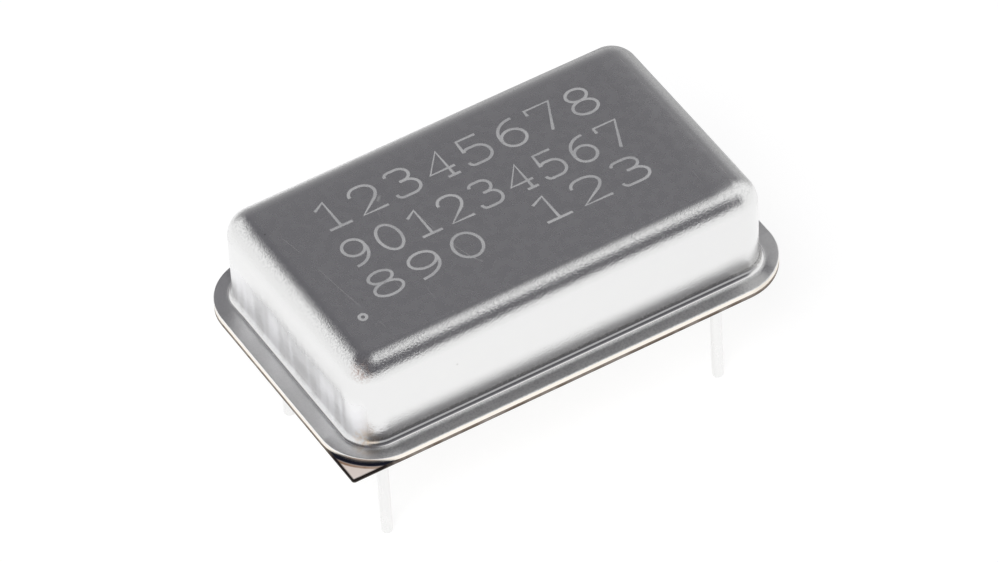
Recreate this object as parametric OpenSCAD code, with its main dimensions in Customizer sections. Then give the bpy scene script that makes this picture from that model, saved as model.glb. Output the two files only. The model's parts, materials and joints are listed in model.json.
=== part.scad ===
// Clock oscillator in a welded metal can with four pins on the 14-pin dual-in-line outline.
// Origin: centre of the pin pattern on the seating plane, where the glass stand-off beads meet the board.
// +X runs along the can, +Y from the row of pins 1 and 7 to the row of pins 8 and 14, +Z up out of the board.

/* [Can] */
// Length of the can's body over its walls
can_l = 18.5; // [18:0.1:23]
// Width of the can's body over its walls
can_w = 10.9; // [10.6:0.1:14]
// Height of the can from the underside of its flange to its top
can_h = 4.45; // [4.2:0.05:7]
// Outside radius of the can's upright corners
can_r = 1.2; // [0.8:0.05:1.6]
// Outside radius where the walls turn into the top
top_r = 1.1; // [0.5:0.05:1.5]
// Thickness of the drawn sheet
sheet_t = 0.25; // [0.15:0.01:0.35]
// Outside radius where the walls turn out into the flange
foot_r = 0.2; // [0.1:0.05:0.4]

/* [Flange and header] */
// Width of the flange beyond the can's end walls
flange_end = 0.9; // [0.7:0.05:1.5]
// Width of the flange beyond the can's side walls
flange_side = 0.8; // [0.7:0.05:1.5]
// Corner radius of the flange
flange_r = 2.35; // [1.5:0.05:2.6]
// Radius left on the header's square corner at pin 1
key_corner_r = 0.12; // [0.05:0.01:0.5]
// Thickness of the header's rim under the flange
rim_t = 0.17; // [0.1:0.01:0.4]
// Thickness of the header where the pins pass through
header_t = 1; // [0.8:0.05:1.4]
// Gap between the header's raised plug and the can's walls
plug_gap = 0.12; // [0.05:0.01:0.2]
// Radius round the top edge of the plug
plug_edge_r = 0.2; // [0.1:0.05:0.3]

/* [Pins and seals] */
// Pin spacing along the can
pitch_l = 15.24; // [14.6:0.01:15.4]
// Pin spacing across the can
pitch_w = 7.62; // [7:0.01:7.8]
// Diameter of a pin's plated wire
pin_d = 0.46; // [0.4:0.01:0.56]
// Length of a pin below the seating plane
pin_reach = 6; // [3:0.1:7.5]
// Length of a pin above the ceramic
pin_stub = 0.35; // [0.2:0.05:0.6]
// Radius round a pin's ends
pin_tip_r = 0.15; // [0.05:0.01:0.19]
// Thickness of the tin that a pin is dipped in
dip_t = 0.02; // [0.01:0.005:0.03]
// Distance from the seating plane down to where the tin has its full thickness
dip_top = 0.9; // [0.8:0.05:1.5]
// Length over which the tin thins out above that
dip_run = 0.55; // [0.55:0.05:0.75]
// Diameter of the glass in the header
seal_d = 1.8; // [1.4:0.05:2.2]
// Height of the glass bead that holds the header off the board
bead_h = 0.3; // [0.2:0.05:0.6]
// Diameter of that bead
bead_d = 1.6; // [1.2:0.05:1.8]
// Height of the glass land that carries the ceramic
land_h = 0.1; // [0.05:0.01:0.3]
// Diameter of that land
land_d = 1.3; // [1.1:0.05:1.4]
// Reach of the braze from the ground pin over the header's underside
braze_foot = 0.36; // [0.2:0.02:0.5]
// Height of the braze on the ground pin's outer side
braze_h = 0.18; // [0.1:0.01:0.19]

/* [Ceramic and film] */
// Gap between the ceramic and the can's walls
board_gap = 0.35; // [0.2:0.05:0.6]
// Thickness of the ceramic
board_t = 0.5; // [0.38:0.01:0.64]
// Gap between a pin and its hole in the ceramic
hole_gap = 0.17; // [0.1:0.01:0.25]
// Thickness of the printed conductor
film_t = 0.02; // [0.01:0.005:0.03]
// Width of a conductor track
track_w = 0.3; // [0.2:0.05:0.4]
// Gap kept between neighbouring conductors
track_gap = 0.3; // [0.2:0.05:0.4]
// Width of the printed ring round a pin's hole
ring_w = 0.35; // [0.25:0.05:0.4]
// Height of the solder on a pin
solder_h = 0.28; // [0.15:0.01:0.3]
// Thickness of solder or adhesive under a part
joint_t = 0.03; // [0.02:0.005:0.05]
// Height to which solder or adhesive wets a part's side
wet_h = 0.09; // [0.06:0.01:0.12]
// Reach of solder or adhesive beyond a part's side
wet_w = 0.12; // [0.08:0.01:0.2]

/* [Crystal] */
// Diameter of the quartz blank
blank_d = 7.2; // [6:0.1:8.7]
// Thickness of the quartz blank
blank_t = 0.17; // [0.1:0.01:0.3]
// Diameter of an electrode
electrode_d = 4; // [3:0.1:5]
// Thickness of an electrode
electrode_t = 0.01; // [0.005:0.005:0.02]
// Width of the electrode's tab out to the clip
tab_w = 0.8; // [0.5:0.05:1.2]
// Width of a clip's strip
clip_w = 1.4; // [1:0.1:1.8]
// Thickness of a clip's strip
clip_t = 0.12; // [0.08:0.01:0.15]
// Outside radius of a clip's bends
clip_bend_r = 0.25; // [0.2:0.01:0.3]
// Length of a clip's foot
clip_foot = 0.9; // [0.7:0.05:1.1]
// Length of a clip's ledge from its back inwards
clip_ledge = 0.85; // [0.7:0.05:1.1]
// Height of a clip over its foot
clip_h = 0.95; // [0.8:0.05:1.2]
// Distance from the blank's edge out to the back of a clip
clip_out = 0.5; // [0.4:0.05:0.6]
// Radius of a dab of conductive adhesive
dab_r = 0.45; // [0.3:0.05:0.5]
// Height of a dab's dome over the blank
dab_h = 0.2; // [0.1:0.01:0.3]

/* [Chip and capacitor] */
// Length of the chip
chip_l = 1.5; // [1.2:0.1:1.8]
// Width of the chip
chip_w = 1.2; // [1:0.1:1.5]
// Thickness of the chip
chip_t = 0.3; // [0.2:0.01:0.4]
// Diameter of a bond wire
wire_d = 0.03; // [0.025:0.005:0.05]
// Angle of the arc that a bond wire follows
wire_arc = 140; // [100:5:160]
// Distance from the chip's side to the printed bond pads
bond_reach = 0.7; // [0.6:0.05:0.8]
// Inset of the chip's own pads from its sides
pad_inset = 0.15; // [0.1:0.01:0.2]
// Length of the capacitor over its plated ends
cap_l = 2; // [1.6:0.1:2.2]
// Width of the capacitor
cap_w = 1.25; // [0.8:0.05:1.3]
// Height of the capacitor
cap_h = 0.85; // [0.6:0.05:1]
// Length of a plated end
cap_end = 0.35; // [0.25:0.05:0.5]
// Thickness of the plating on the ends
plate_t = 0.03; // [0.02:0.01:0.05]

/* [Hidden] */
$fn = 64;

// Levels, from the seating plane up
z_header = bead_h;
z_flange = z_header + rim_t;
z_plug = z_header + header_t;
z_board = z_plug + land_h;
z_film = z_board + board_t;
z_parts = z_film + film_t;
z_ledge = z_parts + joint_t + clip_h;
z_blank = z_ledge + electrode_t;
z_chip = z_parts + joint_t + chip_t;

// Pin places
pin_r = pin_d / 2;
at_1 = [-pitch_l / 2, -pitch_w / 2];
at_7 = [pitch_l / 2, -pitch_w / 2];
at_8 = [pitch_l / 2, pitch_w / 2];
at_14 = [-pitch_l / 2, pitch_w / 2];
hole_r = pin_r + hole_gap;
ring_r = hole_r + ring_w;

// The radius of the top's edge can't pass that of the corner it runs into
edge_r = min(top_r, can_r - 0.05);

// Size over the flange, of the can's inside, and of what fits in it
flange_l = can_l + 2 * flange_end;
flange_w = can_w + 2 * flange_side;
inner_l = can_l - 2 * sheet_t;
inner_w = can_w - 2 * sheet_t;
inner_r = can_r - sheet_t;
board_l = inner_l - 2 * board_gap;
board_w = inner_w - 2 * board_gap;

// Places along the ceramic, each worked out from the one before it
foot_pad = [clip_foot + 2 * wet_w + 0.1, clip_w + 2 * wet_w + 0.1];
left_foot_x = -pitch_l / 2 + 0.2;
blank_x = left_foot_x + clip_foot / 2 + clip_out + blank_d / 2;
right_foot_x = blank_x + blank_d / 2 + clip_out + clip_foot / 2;
riser_track_x = right_foot_x + foot_pad[0] / 2 + track_gap + track_w / 2;
bond_x = riser_track_x + track_gap + track_w;
chip_x = bond_x + bond_reach + chip_l / 2;
chip_y = 0.2;
out_x = chip_x + chip_l / 2 + bond_reach;
low_y = chip_y - chip_w / 2 - bond_reach;
chip_pad = [chip_l + 2 * wet_w + 0.1, chip_w + 2 * wet_w + 0.1];
cap_at = [chip_x - 0.4, 2.6];
cap_pad = [cap_end + 2 * wet_w + 0.1, cap_w + 2 * wet_w + 0.1];
cap_pad_dx = (cap_l - cap_end) / 2;
under_track_y = -pitch_w / 2 + ring_r + track_gap + track_w / 2;
bond_pad_d = track_w + 0.1;

// Printed bond pads: left column, lower row and right side of the chip
pad_supply = [bond_x, chip_y + chip_w / 2];
pad_crystal_out = [bond_x, chip_y];
pad_crystal_in = [bond_x, chip_y - chip_w / 2];
pad_enable = [chip_x - chip_l / 4, low_y];
pad_ground = [chip_x + chip_l / 4, low_y];
pad_output = [out_x, chip_y + chip_w / 4];

// ---- Shapes used by several parts ----

// Rounded rectangle centred on the origin
module rounded_rect(l, w, r) {
    square([l - 2 * r, w], center = true);
    square([l, w - 2 * r], center = true);
    for (x = [-1, 1], y = [-1, 1])
        translate([x * (l / 2 - r), y * (w / 2 - r)]) circle(r);
}

// Quarter disc in the first quadrant
module quarter_disc(r) {
    intersection() {
        circle(r);
        square(r);
    }
}

// Upright section of height h and width w from the Y axis, rounded at its upper outer corner
module rounded_section(w, h, r) {
    square([w, h - r]);
    square([w - r, h]);
    translate([w - r, h - r]) quarter_disc(r);
}

// Concave corner between the two axes, the cutting circle being tangent to both
module cove(r) {
    difference() {
        square(r);
        translate([r, r]) circle(r);
    }
}

// Section swept round a rounded rectangle of l by w with corner radius r: the section's x = 0 lies at the centre
// of each corner, and the middle is closed where the section reaches that far in
module sweep_round(l, w, r) {
    for (x = [0, 1], y = [0, 1])
        mirror([x, 0, 0]) mirror([0, y, 0])
            translate([l / 2 - r, w / 2 - r, 0]) rotate_extrude(angle = 90) children();
    for (y = [0, 1])
        mirror([0, y, 0]) translate([-l / 2 + r, w / 2 - r, 0])
            rotate([90, 0, 90]) linear_extrude(l - 2 * r) children();
    for (x = [0, 1])
        mirror([x, 0, 0]) translate([l / 2 - r, w / 2 - r, 0])
            rotate([90, 0, 0]) linear_extrude(w - 2 * r) children();
}

// Solder or brazing fillet in the corner of the two axes, a along x and h along y, with a hollow face
module wetted_corner(a, h) {
    chord = norm([a, h]);
    face_r = 1.2 * chord;
    back = sqrt(face_r * face_r - chord * chord / 4);
    difference() {
        polygon([[0, 0], [a, 0], [0, h]]);
        translate([a / 2 + back * h / chord, h / 2 + back * a / chord]) circle(face_r);
    }
}

// Joint under and round a rectangular foot of l by w: spreads wet_w beyond it and climbs wet_h
module foot_joint(l, w) {
    edge = min(wet_w, wet_h) * 0.9;
    sweep_round(l + 2 * wet_w, w + 2 * wet_w, wet_w) rounded_section(wet_w, wet_h, edge);
    linear_extrude(wet_h) square([l, w], center = true);
}

// ---- Can and header ----

// Section of the can's sheet from the corner centre outwards: top, edge, wall and the turn into the flange
module can_section() {
    difference() {
        union() {
            rounded_section(can_r, can_h, edge_r);
            translate([can_r, 0]) square([foot_r, sheet_t]);
            translate([can_r, sheet_t]) cove(foot_r);
        }
        rounded_section(inner_r, can_h - sheet_t, max(edge_r - sheet_t, 0.05));
        translate([inner_r, 0]) cove(sheet_t + foot_r);
    }
}

module can() {
    color("silver") translate([0, 0, z_flange]) {
        sweep_round(can_l, can_w, can_r) can_section();
        translate([0, 0, can_h - sheet_t])
            linear_extrude(sheet_t) square([can_l - 2 * can_r, can_w - 2 * can_r], center = true);
        linear_extrude(sheet_t) difference() {
            rounded_rect(flange_l, flange_w, flange_r);
            rounded_rect(can_l + 2 * foot_r, can_w + 2 * foot_r, can_r + foot_r);
        }
    }
}

// Header outline: the flange's, but with a square corner at pin 1
module header_outline() {
    rounded_rect(flange_l, flange_w, flange_r);
    translate([-flange_l / 2, -flange_w / 2]) {
        translate([key_corner_r, 0]) square([flange_r, flange_r]);
        translate([0, key_corner_r]) square([flange_r, flange_r]);
        translate([key_corner_r, key_corner_r]) circle(key_corner_r);
    }
}

module header() {
    plug_l = inner_l - 2 * plug_gap;
    plug_w = inner_w - 2 * plug_gap;
    plug_r = inner_r - plug_gap;
    color("gainsboro") translate([0, 0, z_header]) difference() {
        union() {
            linear_extrude(rim_t) header_outline();
            sweep_round(plug_l, plug_w, plug_r) rounded_section(plug_r, header_t, plug_edge_r);
            linear_extrude(header_t) square([plug_l - 2 * plug_r, plug_w - 2 * plug_r], center = true);
        }
        for (at = [at_1, at_8, at_14])
            translate([at[0], at[1], -1]) cylinder(d = seal_d, h = header_t + 2);
        translate([at_7[0], at_7[1], -1]) cylinder(r = pin_r, h = header_t + 2);
    }
}

// ---- Pins, seals and the ground joint ----

// Plated wire with rounded ends, dipped in tin that thins out below the seating plane
module pin(at) {
    dipped = pin_reach - dip_top;
    wire_from = dipped + dip_run;
    wire = pin_reach + z_parts + pin_stub - wire_from;
    color("whitesmoke") translate([at[0], at[1], -pin_reach]) rotate_extrude() {
        translate([0, dipped]) mirror([0, 1]) rounded_section(pin_r + dip_t, dipped, pin_tip_r);
        polygon([[0, dipped], [pin_r + dip_t, dipped], [pin_r, wire_from], [0, wire_from]]);
        translate([0, wire_from]) rounded_section(pin_r, wire, pin_tip_r);
    }
}

// Glass seal: a rounded stand-off bead below the header, the glass in the header, and the land above it
module seal(at) {
    bead_edge = 0.8 * bead_h;
    color("darkslategray") translate([at[0], at[1], 0]) rotate_extrude() difference() {
        union() {
            translate([0, z_header]) mirror([0, 1]) rounded_section(bead_d / 2, bead_h, bead_edge);
            translate([0, z_header]) square([seal_d / 2, header_t]);
            translate([0, z_plug]) square([land_d / 2, land_h]);
        }
        translate([-1, -1]) square([1 + pin_r, z_board + 2]);
    }
}

// Braze at both ends of the ground pin's hole: a fillet below the header and the ceramic's land above it
module ground_braze() {
    color("silver") translate([at_7[0], at_7[1], 0]) rotate_extrude() {
        translate([pin_r, z_header]) mirror([0, 1]) wetted_corner(braze_foot, braze_h);
        translate([pin_r, z_plug]) square([land_d / 2 - pin_r, land_h]);
    }
}

// ---- Ceramic and printed conductor ----

module substrate() {
    color("white") translate([0, 0, z_board]) linear_extrude(board_t) difference() {
        square([board_l, board_w], center = true);
        for (at = [at_1, at_7, at_8, at_14])
            translate(at) circle(hole_r);
    }
}

// Track of axis-parallel runs through the given points
module track(points) {
    for (i = [0 : len(points) - 1]) {
        translate(points[i]) circle(d = track_w);
        if (i > 0) {
            run = points[i] - points[i - 1];
            translate((points[i] + points[i - 1]) / 2)
                square([max(abs(run[0]), track_w), max(abs(run[1]), track_w)], center = true);
        }
    }
}

module bond_pad(at) {
    translate(at) circle(d = bond_pad_d);
}

module part_pad(at, size) {
    translate(at) square(size, center = true);
}

// One printed net that starts at a pin's ring, with the pin's hole kept open
module pin_net(at) {
    linear_extrude(film_t) difference() {
        union() {
            translate(at) circle(ring_r);
            children();
        }
        translate(at) circle(hole_r);
    }
}

module conductor_tracks() {
    cap_left = [cap_at[0] - cap_pad_dx, cap_at[1]];
    cap_right = [cap_at[0] + cap_pad_dx, cap_at[1]];
    color("lightgray") translate([0, 0, z_film]) {
        pin_net(at_14) {
            track([at_14, [cap_left[0], at_14[1]], cap_left]);
            track([cap_left, [cap_left[0], pad_supply[1]], pad_supply]);
            part_pad(cap_left, cap_pad);
            bond_pad(pad_supply);
        }
        pin_net(at_7) {
            track([at_7, [pad_ground[0], at_7[1]], [pad_ground[0], chip_y]]);
            track([[cap_right[0], chip_y], cap_right]);
            part_pad([chip_x, chip_y], chip_pad);
            part_pad(cap_right, cap_pad);
            bond_pad(pad_ground);
        }
        pin_net(at_1) {
            track([at_1, [pad_enable[0], at_1[1]], pad_enable]);
            bond_pad(pad_enable);
        }
        pin_net(at_8) {
            track([at_8, [at_8[0], pad_output[1]], pad_output]);
            bond_pad(pad_output);
        }
        linear_extrude(film_t) {
            part_pad([left_foot_x, 0], foot_pad);
            track([[left_foot_x, 0], [left_foot_x, under_track_y], [riser_track_x, under_track_y],
                [riser_track_x, pad_crystal_in[1]], pad_crystal_in]);
            bond_pad(pad_crystal_in);
        }
        linear_extrude(film_t) {
            part_pad([right_foot_x, 0], foot_pad);
            track([[right_foot_x, pad_crystal_out[1]], pad_crystal_out]);
            bond_pad(pad_crystal_out);
        }
    }
}

// Solder that fills a pin's hole in the ceramic and climbs the pin above it
module pin_solder(at) {
    color("silver") translate([at[0], at[1], 0]) rotate_extrude() {
        translate([pin_r, z_board]) square([hole_gap, board_t + film_t]);
        translate([pin_r, z_parts]) wetted_corner(hole_gap + ring_w, solder_h);
    }
}

// ---- Crystal and its clips ----

module quartz_blank() {
    color("lightcyan", 0.6) translate([blank_x, 0, z_blank]) cylinder(d = blank_d, h = blank_t, $fn = 128);
}

// Electrode with its tab towards side s, trimmed to the blank's edge
module electrode(s) {
    linear_extrude(electrode_t) intersection() {
        circle(d = blank_d, $fn = 128);
        union() {
            circle(d = electrode_d);
            translate([s * blank_d / 4, 0]) square([blank_d / 2, tab_w], center = true);
        }
    }
}

module electrode_top() {
    color("gainsboro") translate([blank_x, 0, z_blank + blank_t]) electrode(1);
}

module electrode_bottom() {
    color("gainsboro") translate([blank_x, 0, z_blank - electrode_t]) electrode(-1);
}

// Quarter turn of strip in the first quadrant
module strip_bend() {
    difference() {
        quarter_disc(clip_bend_r);
        circle(clip_bend_r - clip_t);
    }
}

// Section of a clip: foot out along +x, riser at x = 0, ledge in along -x. The foot's underside is y = 0
module clip_section() {
    bend = clip_bend_r;
    in_r = bend - clip_t;
    translate([bend - clip_t, 0]) square([clip_foot - bend + clip_t, clip_t]);
    translate([in_r, bend]) mirror([1, 0]) mirror([0, 1]) strip_bend();
    translate([-clip_t, bend]) square([clip_t, clip_h - 2 * bend]);
    translate([-bend, clip_h - bend]) strip_bend();
    translate([-clip_ledge, clip_h - clip_t]) square([clip_ledge - bend, clip_t]);
}

// Clip on side s of the blank
module clip(s) {
    foot_x = s < 0 ? left_foot_x : right_foot_x;
    color("goldenrod") translate([foot_x, 0, z_parts + joint_t]) mirror([s < 0 ? 1 : 0, 0, 0])
        translate([-clip_foot / 2, clip_w / 2, 0]) rotate([90, 0, 0]) linear_extrude(clip_w) clip_section();
}

module clip_solder(s) {
    foot_x = s < 0 ? left_foot_x : right_foot_x;
    difference() {
        color("silver") translate([foot_x, 0, z_parts]) foot_joint(clip_foot, clip_w);
        clip(s);
    }
}

// Dab that bonds the blank's edge and the electrode's tab to the clip's ledge: a domed drop with the blank in it
module adhesive(s) {
    wrapped_t = blank_t + 2 * electrode_t;
    dome_r = (dab_r * dab_r + dab_h * dab_h) / (2 * dab_h);
    color("dimgray") translate([blank_x, 0, z_ledge]) difference() {
        translate([s * blank_d / 2, 0, 0]) rotate_extrude() {
            square([dab_r, wrapped_t]);
            translate([0, wrapped_t]) intersection() {
                translate([0, dab_h - dome_r]) circle(dome_r, $fn = 96);
                square([dab_r, dab_h]);
            }
        }
        translate([0, 0, -1]) cylinder(d = blank_d, h = 1 + wrapped_t, $fn = 128);
    }
}

// ---- Chip, bond wires and capacitor ----

module oscillator_chip() {
    color("dimgray") translate([chip_x, chip_y, z_parts + joint_t])
        linear_extrude(chip_t) square([chip_l, chip_w], center = true);
}

module chip_bond() {
    difference() {
        color("darkkhaki") translate([chip_x, chip_y, z_parts]) foot_joint(chip_l, chip_w);
        oscillator_chip();
    }
}

// Bond wire from the chip's pad at a to the printed pad at b: a ball, an arc and a pressed end
module bond_wire(a, b) {
    ball_r = 1.4 * wire_d;
    ball_h = 1.2 * wire_d;
    span = norm(b - a);
    drop = z_chip - z_parts;
    chord = norm([span, drop]);
    arc_r = chord / (2 * sin(wire_arc / 2));
    translate([a[0], a[1], z_chip]) cylinder(r = ball_r, h = ball_h);
    translate([b[0], b[1], z_parts]) cylinder(r = ball_r, h = ball_h);
    translate([a[0], a[1], (z_chip + z_parts + ball_h) / 2]) rotate([0, 0, atan2(b[1] - a[1], b[0] - a[0])])
        translate([span / 2, 0, 0]) rotate([0, atan2(drop, span), 0])
            translate([0, 0, -arc_r * cos(wire_arc / 2)]) rotate([90, 0, 0])
                rotate([0, 0, 90 - wire_arc / 2]) rotate_extrude(angle = wire_arc)
                    translate([arc_r, 0]) circle(d = wire_d, $fn = 24);
}

module bond_wires() {
    left = chip_x - chip_l / 2 + pad_inset;
    right = chip_x + chip_l / 2 - pad_inset;
    low = chip_y - chip_w / 2 + pad_inset;
    high = chip_y + chip_w / 2 - pad_inset;
    color("gold") {
        bond_wire([left, high], pad_supply);
        bond_wire([left, chip_y], pad_crystal_out);
        bond_wire([left, low], pad_crystal_in);
        bond_wire([pad_enable[0], low], pad_enable);
        bond_wire([pad_ground[0], low], pad_ground);
        bond_wire([right, pad_output[1]], pad_output);
    }
}

module capacitor_body() {
    color("tan") translate([cap_at[0], cap_at[1], z_parts + joint_t + cap_h / 2]) rotate([90, 0, 90])
        linear_extrude(cap_l - 2 * plate_t, center = true)
            rounded_rect(cap_w - 2 * plate_t, cap_h - 2 * plate_t, 0.06);
}

module capacitor_ends() {
    difference() {
        color("silver") translate([cap_at[0], cap_at[1], z_parts + joint_t + cap_h / 2]) rotate([90, 0, 90])
            for (s = [-1, 1])
                translate([0, 0, s * cap_pad_dx]) linear_extrude(cap_end, center = true)
                    rounded_rect(cap_w, cap_h, 0.09);
        capacitor_body();
    }
}

module capacitor_solder() {
    difference() {
        color("silver") for (s = [-1, 1])
            translate([cap_at[0] + s * cap_pad_dx, cap_at[1], z_parts]) foot_joint(cap_end, cap_w);
        capacitor_ends();
        capacitor_body();
    }
}

can();
header();
pin(at_1);  // pin_1
pin(at_7);  // pin_7
pin(at_8);  // pin_8
pin(at_14);  // pin_14
seal(at_1);  // seal_1
seal(at_8);  // seal_8
seal(at_14);  // seal_14
ground_braze();
substrate();
conductor_tracks();
pin_solder(at_1);  // pin_solder_1
pin_solder(at_7);  // pin_solder_7
pin_solder(at_8);  // pin_solder_8
pin_solder(at_14);  // pin_solder_14
quartz_blank();
electrode_top();
electrode_bottom();
clip(-1);  // clip_left
clip(1);  // clip_right
clip_solder(-1);  // clip_solder_left
clip_solder(1);  // clip_solder_right
adhesive(-1);  // adhesive_left
adhesive(1);  // adhesive_right
oscillator_chip();
chip_bond();
bond_wires();
capacitor_body();
capacitor_ends();
capacitor_solder();
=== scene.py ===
"""Looks of a clock oscillator in a welded metal can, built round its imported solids.

The can, header, pins, seals and ground joint are modelled again here with smooth surfaces, and stand for the
solids of the same names. The sealed pieces inside keep their solids and get finishes. Shapes are made in
millimetres and brought to metres when they are finished. Azimuths count from -Y towards +X.

Finishes give depths and sizes in millimetres. A pair of levels is where a soft step starts and where it ends,
and a band adds the width of its soft edges.
"""

import json
import logging
import math
from dataclasses import dataclass
from enum import Enum
from typing import ClassVar, Iterable, Optional, Sequence

import bmesh
import bpy
from mathutils import Matrix, Vector


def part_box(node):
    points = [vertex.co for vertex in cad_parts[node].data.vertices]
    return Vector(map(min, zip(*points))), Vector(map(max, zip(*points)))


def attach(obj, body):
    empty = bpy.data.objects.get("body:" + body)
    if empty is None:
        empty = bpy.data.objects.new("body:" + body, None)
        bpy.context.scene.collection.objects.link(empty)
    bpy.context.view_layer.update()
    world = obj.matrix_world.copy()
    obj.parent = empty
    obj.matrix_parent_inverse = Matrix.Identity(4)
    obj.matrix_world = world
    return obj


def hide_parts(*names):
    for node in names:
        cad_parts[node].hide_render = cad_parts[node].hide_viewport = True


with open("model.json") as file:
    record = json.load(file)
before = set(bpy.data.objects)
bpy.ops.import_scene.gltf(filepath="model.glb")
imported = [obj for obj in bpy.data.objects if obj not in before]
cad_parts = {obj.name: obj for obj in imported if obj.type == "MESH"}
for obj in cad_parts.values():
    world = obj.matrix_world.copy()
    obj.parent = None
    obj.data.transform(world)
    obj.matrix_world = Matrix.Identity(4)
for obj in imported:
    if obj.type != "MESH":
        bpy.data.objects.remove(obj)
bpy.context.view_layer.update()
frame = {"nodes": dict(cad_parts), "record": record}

MM = 0.001
ARC_STEPS = 14
CORNER_STEPS = 24
SIDE_STEPS = 12
TURN_STEPS = 64
OVAL_STEPS = 32
CURL_STEPS = 7
WELD_DISTANCE = 0.0005
SHARP_ANGLE = math.radians(35.0)
LEVEL_NORMAL = 0.9999

# Radii at a pin: its bare wire, the hole for its glass, and the land on the header's upper side
WIRE_RADIUS = 0.23
SEAL_RADIUS = 0.9
LAND_RADIUS = 0.65

WHITE = (1.0, 1.0, 1.0)
LOG = logging.getLogger("oscillator")

Point = tuple[float, float]
Spot = tuple[float, float, float]
Band = tuple[float, float, float]
Colour = tuple[float, float, float]
Mesh = bmesh.types.BMesh
Socket = bpy.types.NodeSocket
Materials = dict[str, bpy.types.Material]


# ---- Meshes ----


def box_of(node: str) -> tuple[Vector, Vector, Point]:
    """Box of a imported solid, in millimetres.

    Args:
        node: Name of the solid's node.

    Returns:
        Its lowest corner, its highest corner and its middle in plan.
    """
    low, high = (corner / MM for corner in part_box(node))
    return low, high, ((low.x + high.x) / 2, (low.y + high.y) / 2)


def round_off(bm: Mesh, geom: Sequence, radius: float, steps: int, affect: str = "VERTICES") -> None:
    """Rounds corners of a flat outline or a section, or edges of a shell.

    Args:
        bm: Mesh that is shaped.
        geom: Vertices or edges.
        radius: Radius of the rounding.
        steps: Number of facets of the rounding.
        affect: Which of the two geom holds.
    """
    bmesh.ops.bevel(
        bm,
        geom=list(geom),
        offset=radius,
        offset_type="OFFSET",
        segments=steps,
        profile=0.5,
        affect=affect,
        material=-1,
    )


def edges_at(bm: Mesh, level: float, open_only: bool = True) -> list:
    """Edges that lie at one height.

    Args:
        bm: Mesh that is searched.
        level: The height.
        open_only: Whether edges between two faces are left out.

    Returns:
        The edges.
    """
    return [
        edge
        for edge in bm.edges
        if (edge.is_boundary or edge.is_wire or not open_only)
        and all(abs(v.co.z - level) < WELD_DISTANCE for v in edge.verts)
    ]


def fill_at(bm: Mesh, *levels: float) -> None:
    """Fills the flat face between all open edges at some heights, leaving its holes open."""
    edges = [edge for level in levels for edge in edges_at(bm, level)]
    bmesh.ops.triangle_fill(bm, edges=edges, use_beauty=True, normal=(0.0, 0.0, 1.0))


def plate_side(
    size: Point, radii: Sequence[float], low: float, high: float, edges: Sequence[float] = (), steps: int = 1
) -> Mesh:
    """Side of a flat plate with rounded corners, open above and below.

    Args:
        size: Half the plate's length and half its width.
        radii: Radius at the corners (-X, -Y), (+X, -Y), (-X, +Y) and (+X, +Y).
        low: Height of its lower face.
        high: Height of its upper face.
        edges: Radius of its upper and of its lower edge, or nothing for sharp edges.
        steps: Number of facets of those edges.

    Returns:
        The side.
    """
    bm = bmesh.new()
    bmesh.ops.create_grid(bm, x_segments=1, y_segments=1, size=1.0)
    bmesh.ops.scale(bm, vec=(*size, 1.0), verts=bm.verts)
    bmesh.ops.translate(bm, vec=(0.0, 0.0, low), verts=bm.verts)
    corners = sorted(bm.verts, key=lambda v: (v.co.y, v.co.x))
    for corner, radius in zip(corners, radii):
        round_off(bm, [corner], radius, CORNER_STEPS)
    result = bmesh.ops.extrude_face_region(bm, geom=bm.faces[:])
    raised = [item for item in result["geom"] if isinstance(item, bmesh.types.BMVert)]
    bmesh.ops.translate(bm, vec=(0.0, 0.0, high - low), verts=raised)
    for level, radius in zip((high, low), edges):
        round_off(bm, edges_at(bm, level, open_only=False), radius, steps, "EDGES")
    flat = [face for face in bm.faces if abs(face.normal.z) > LEVEL_NORMAL]
    bmesh.ops.delete(bm, geom=flat, context="FACES_ONLY")
    return bm


def line_through(
    path: Iterable[Spot], rounds: dict[int, float], steps: int = ARC_STEPS, closed: bool = False
) -> Mesh:
    """Line of edges through points, some of them rounded.

    Args:
        path: The points.
        rounds: Radius for each point that is rounded.
        steps: Number of facets of a rounding.
        closed: Whether the last point joins the first.

    Returns:
        A mesh with only that line.
    """
    bm = bmesh.new()
    points = [bm.verts.new(spot) for spot in path]
    for pair in zip(points, points[1:] + points[:1] if closed else points[1:]):
        bm.edges.new(pair)
    for index, radius in rounds.items():
        round_off(bm, [points[index]], radius, steps)
    return bm


def swept_corner(path: Sequence[Point], rounds: dict[int, float], centre: Point) -> Mesh:
    """Section swept by a quarter turn and then along both sides to the middle, four times.

    Args:
        path: Points of the section, as distance from the upright axis and height.
        rounds: Radius for each point of the path that is rounded.
        centre: Place of the axis at the (+X, +Y) corner.

    Returns:
        The shell, closed round the middle and open at both ends of its section.
    """
    bm = line_through(((centre[0] + reach, centre[1], level) for reach, level in path), rounds)
    section = bm.verts[:] + bm.edges[:]
    still = {"cent": (*centre, 0.0), "axis": (0.0, 0.0, 1.0), "use_duplicate": False}
    turned = bmesh.ops.spin(bm, geom=section, angle=math.pi / 2, steps=CORNER_STEPS, dvec=(0, 0, 0), **still)
    step_x = (-centre[0] / SIDE_STEPS, 0.0, 0.0)
    step_y = (0.0, -centre[1] / SIDE_STEPS, 0.0)
    for start, step in ((turned["geom_last"], step_x), (section, step_y)):
        bmesh.ops.spin(bm, geom=start, angle=0.0, steps=SIDE_STEPS, dvec=step, **still)
    for axis in ("X", "Y"):
        whole = bm.verts[:] + bm.edges[:] + bm.faces[:]
        bmesh.ops.mirror(bm, geom=whole, matrix=Matrix.Identity(4), merge_dist=WELD_DISTANCE, axis=axis)
    bmesh.ops.remove_doubles(bm, verts=bm.verts, dist=WELD_DISTANCE)
    return bm


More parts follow.
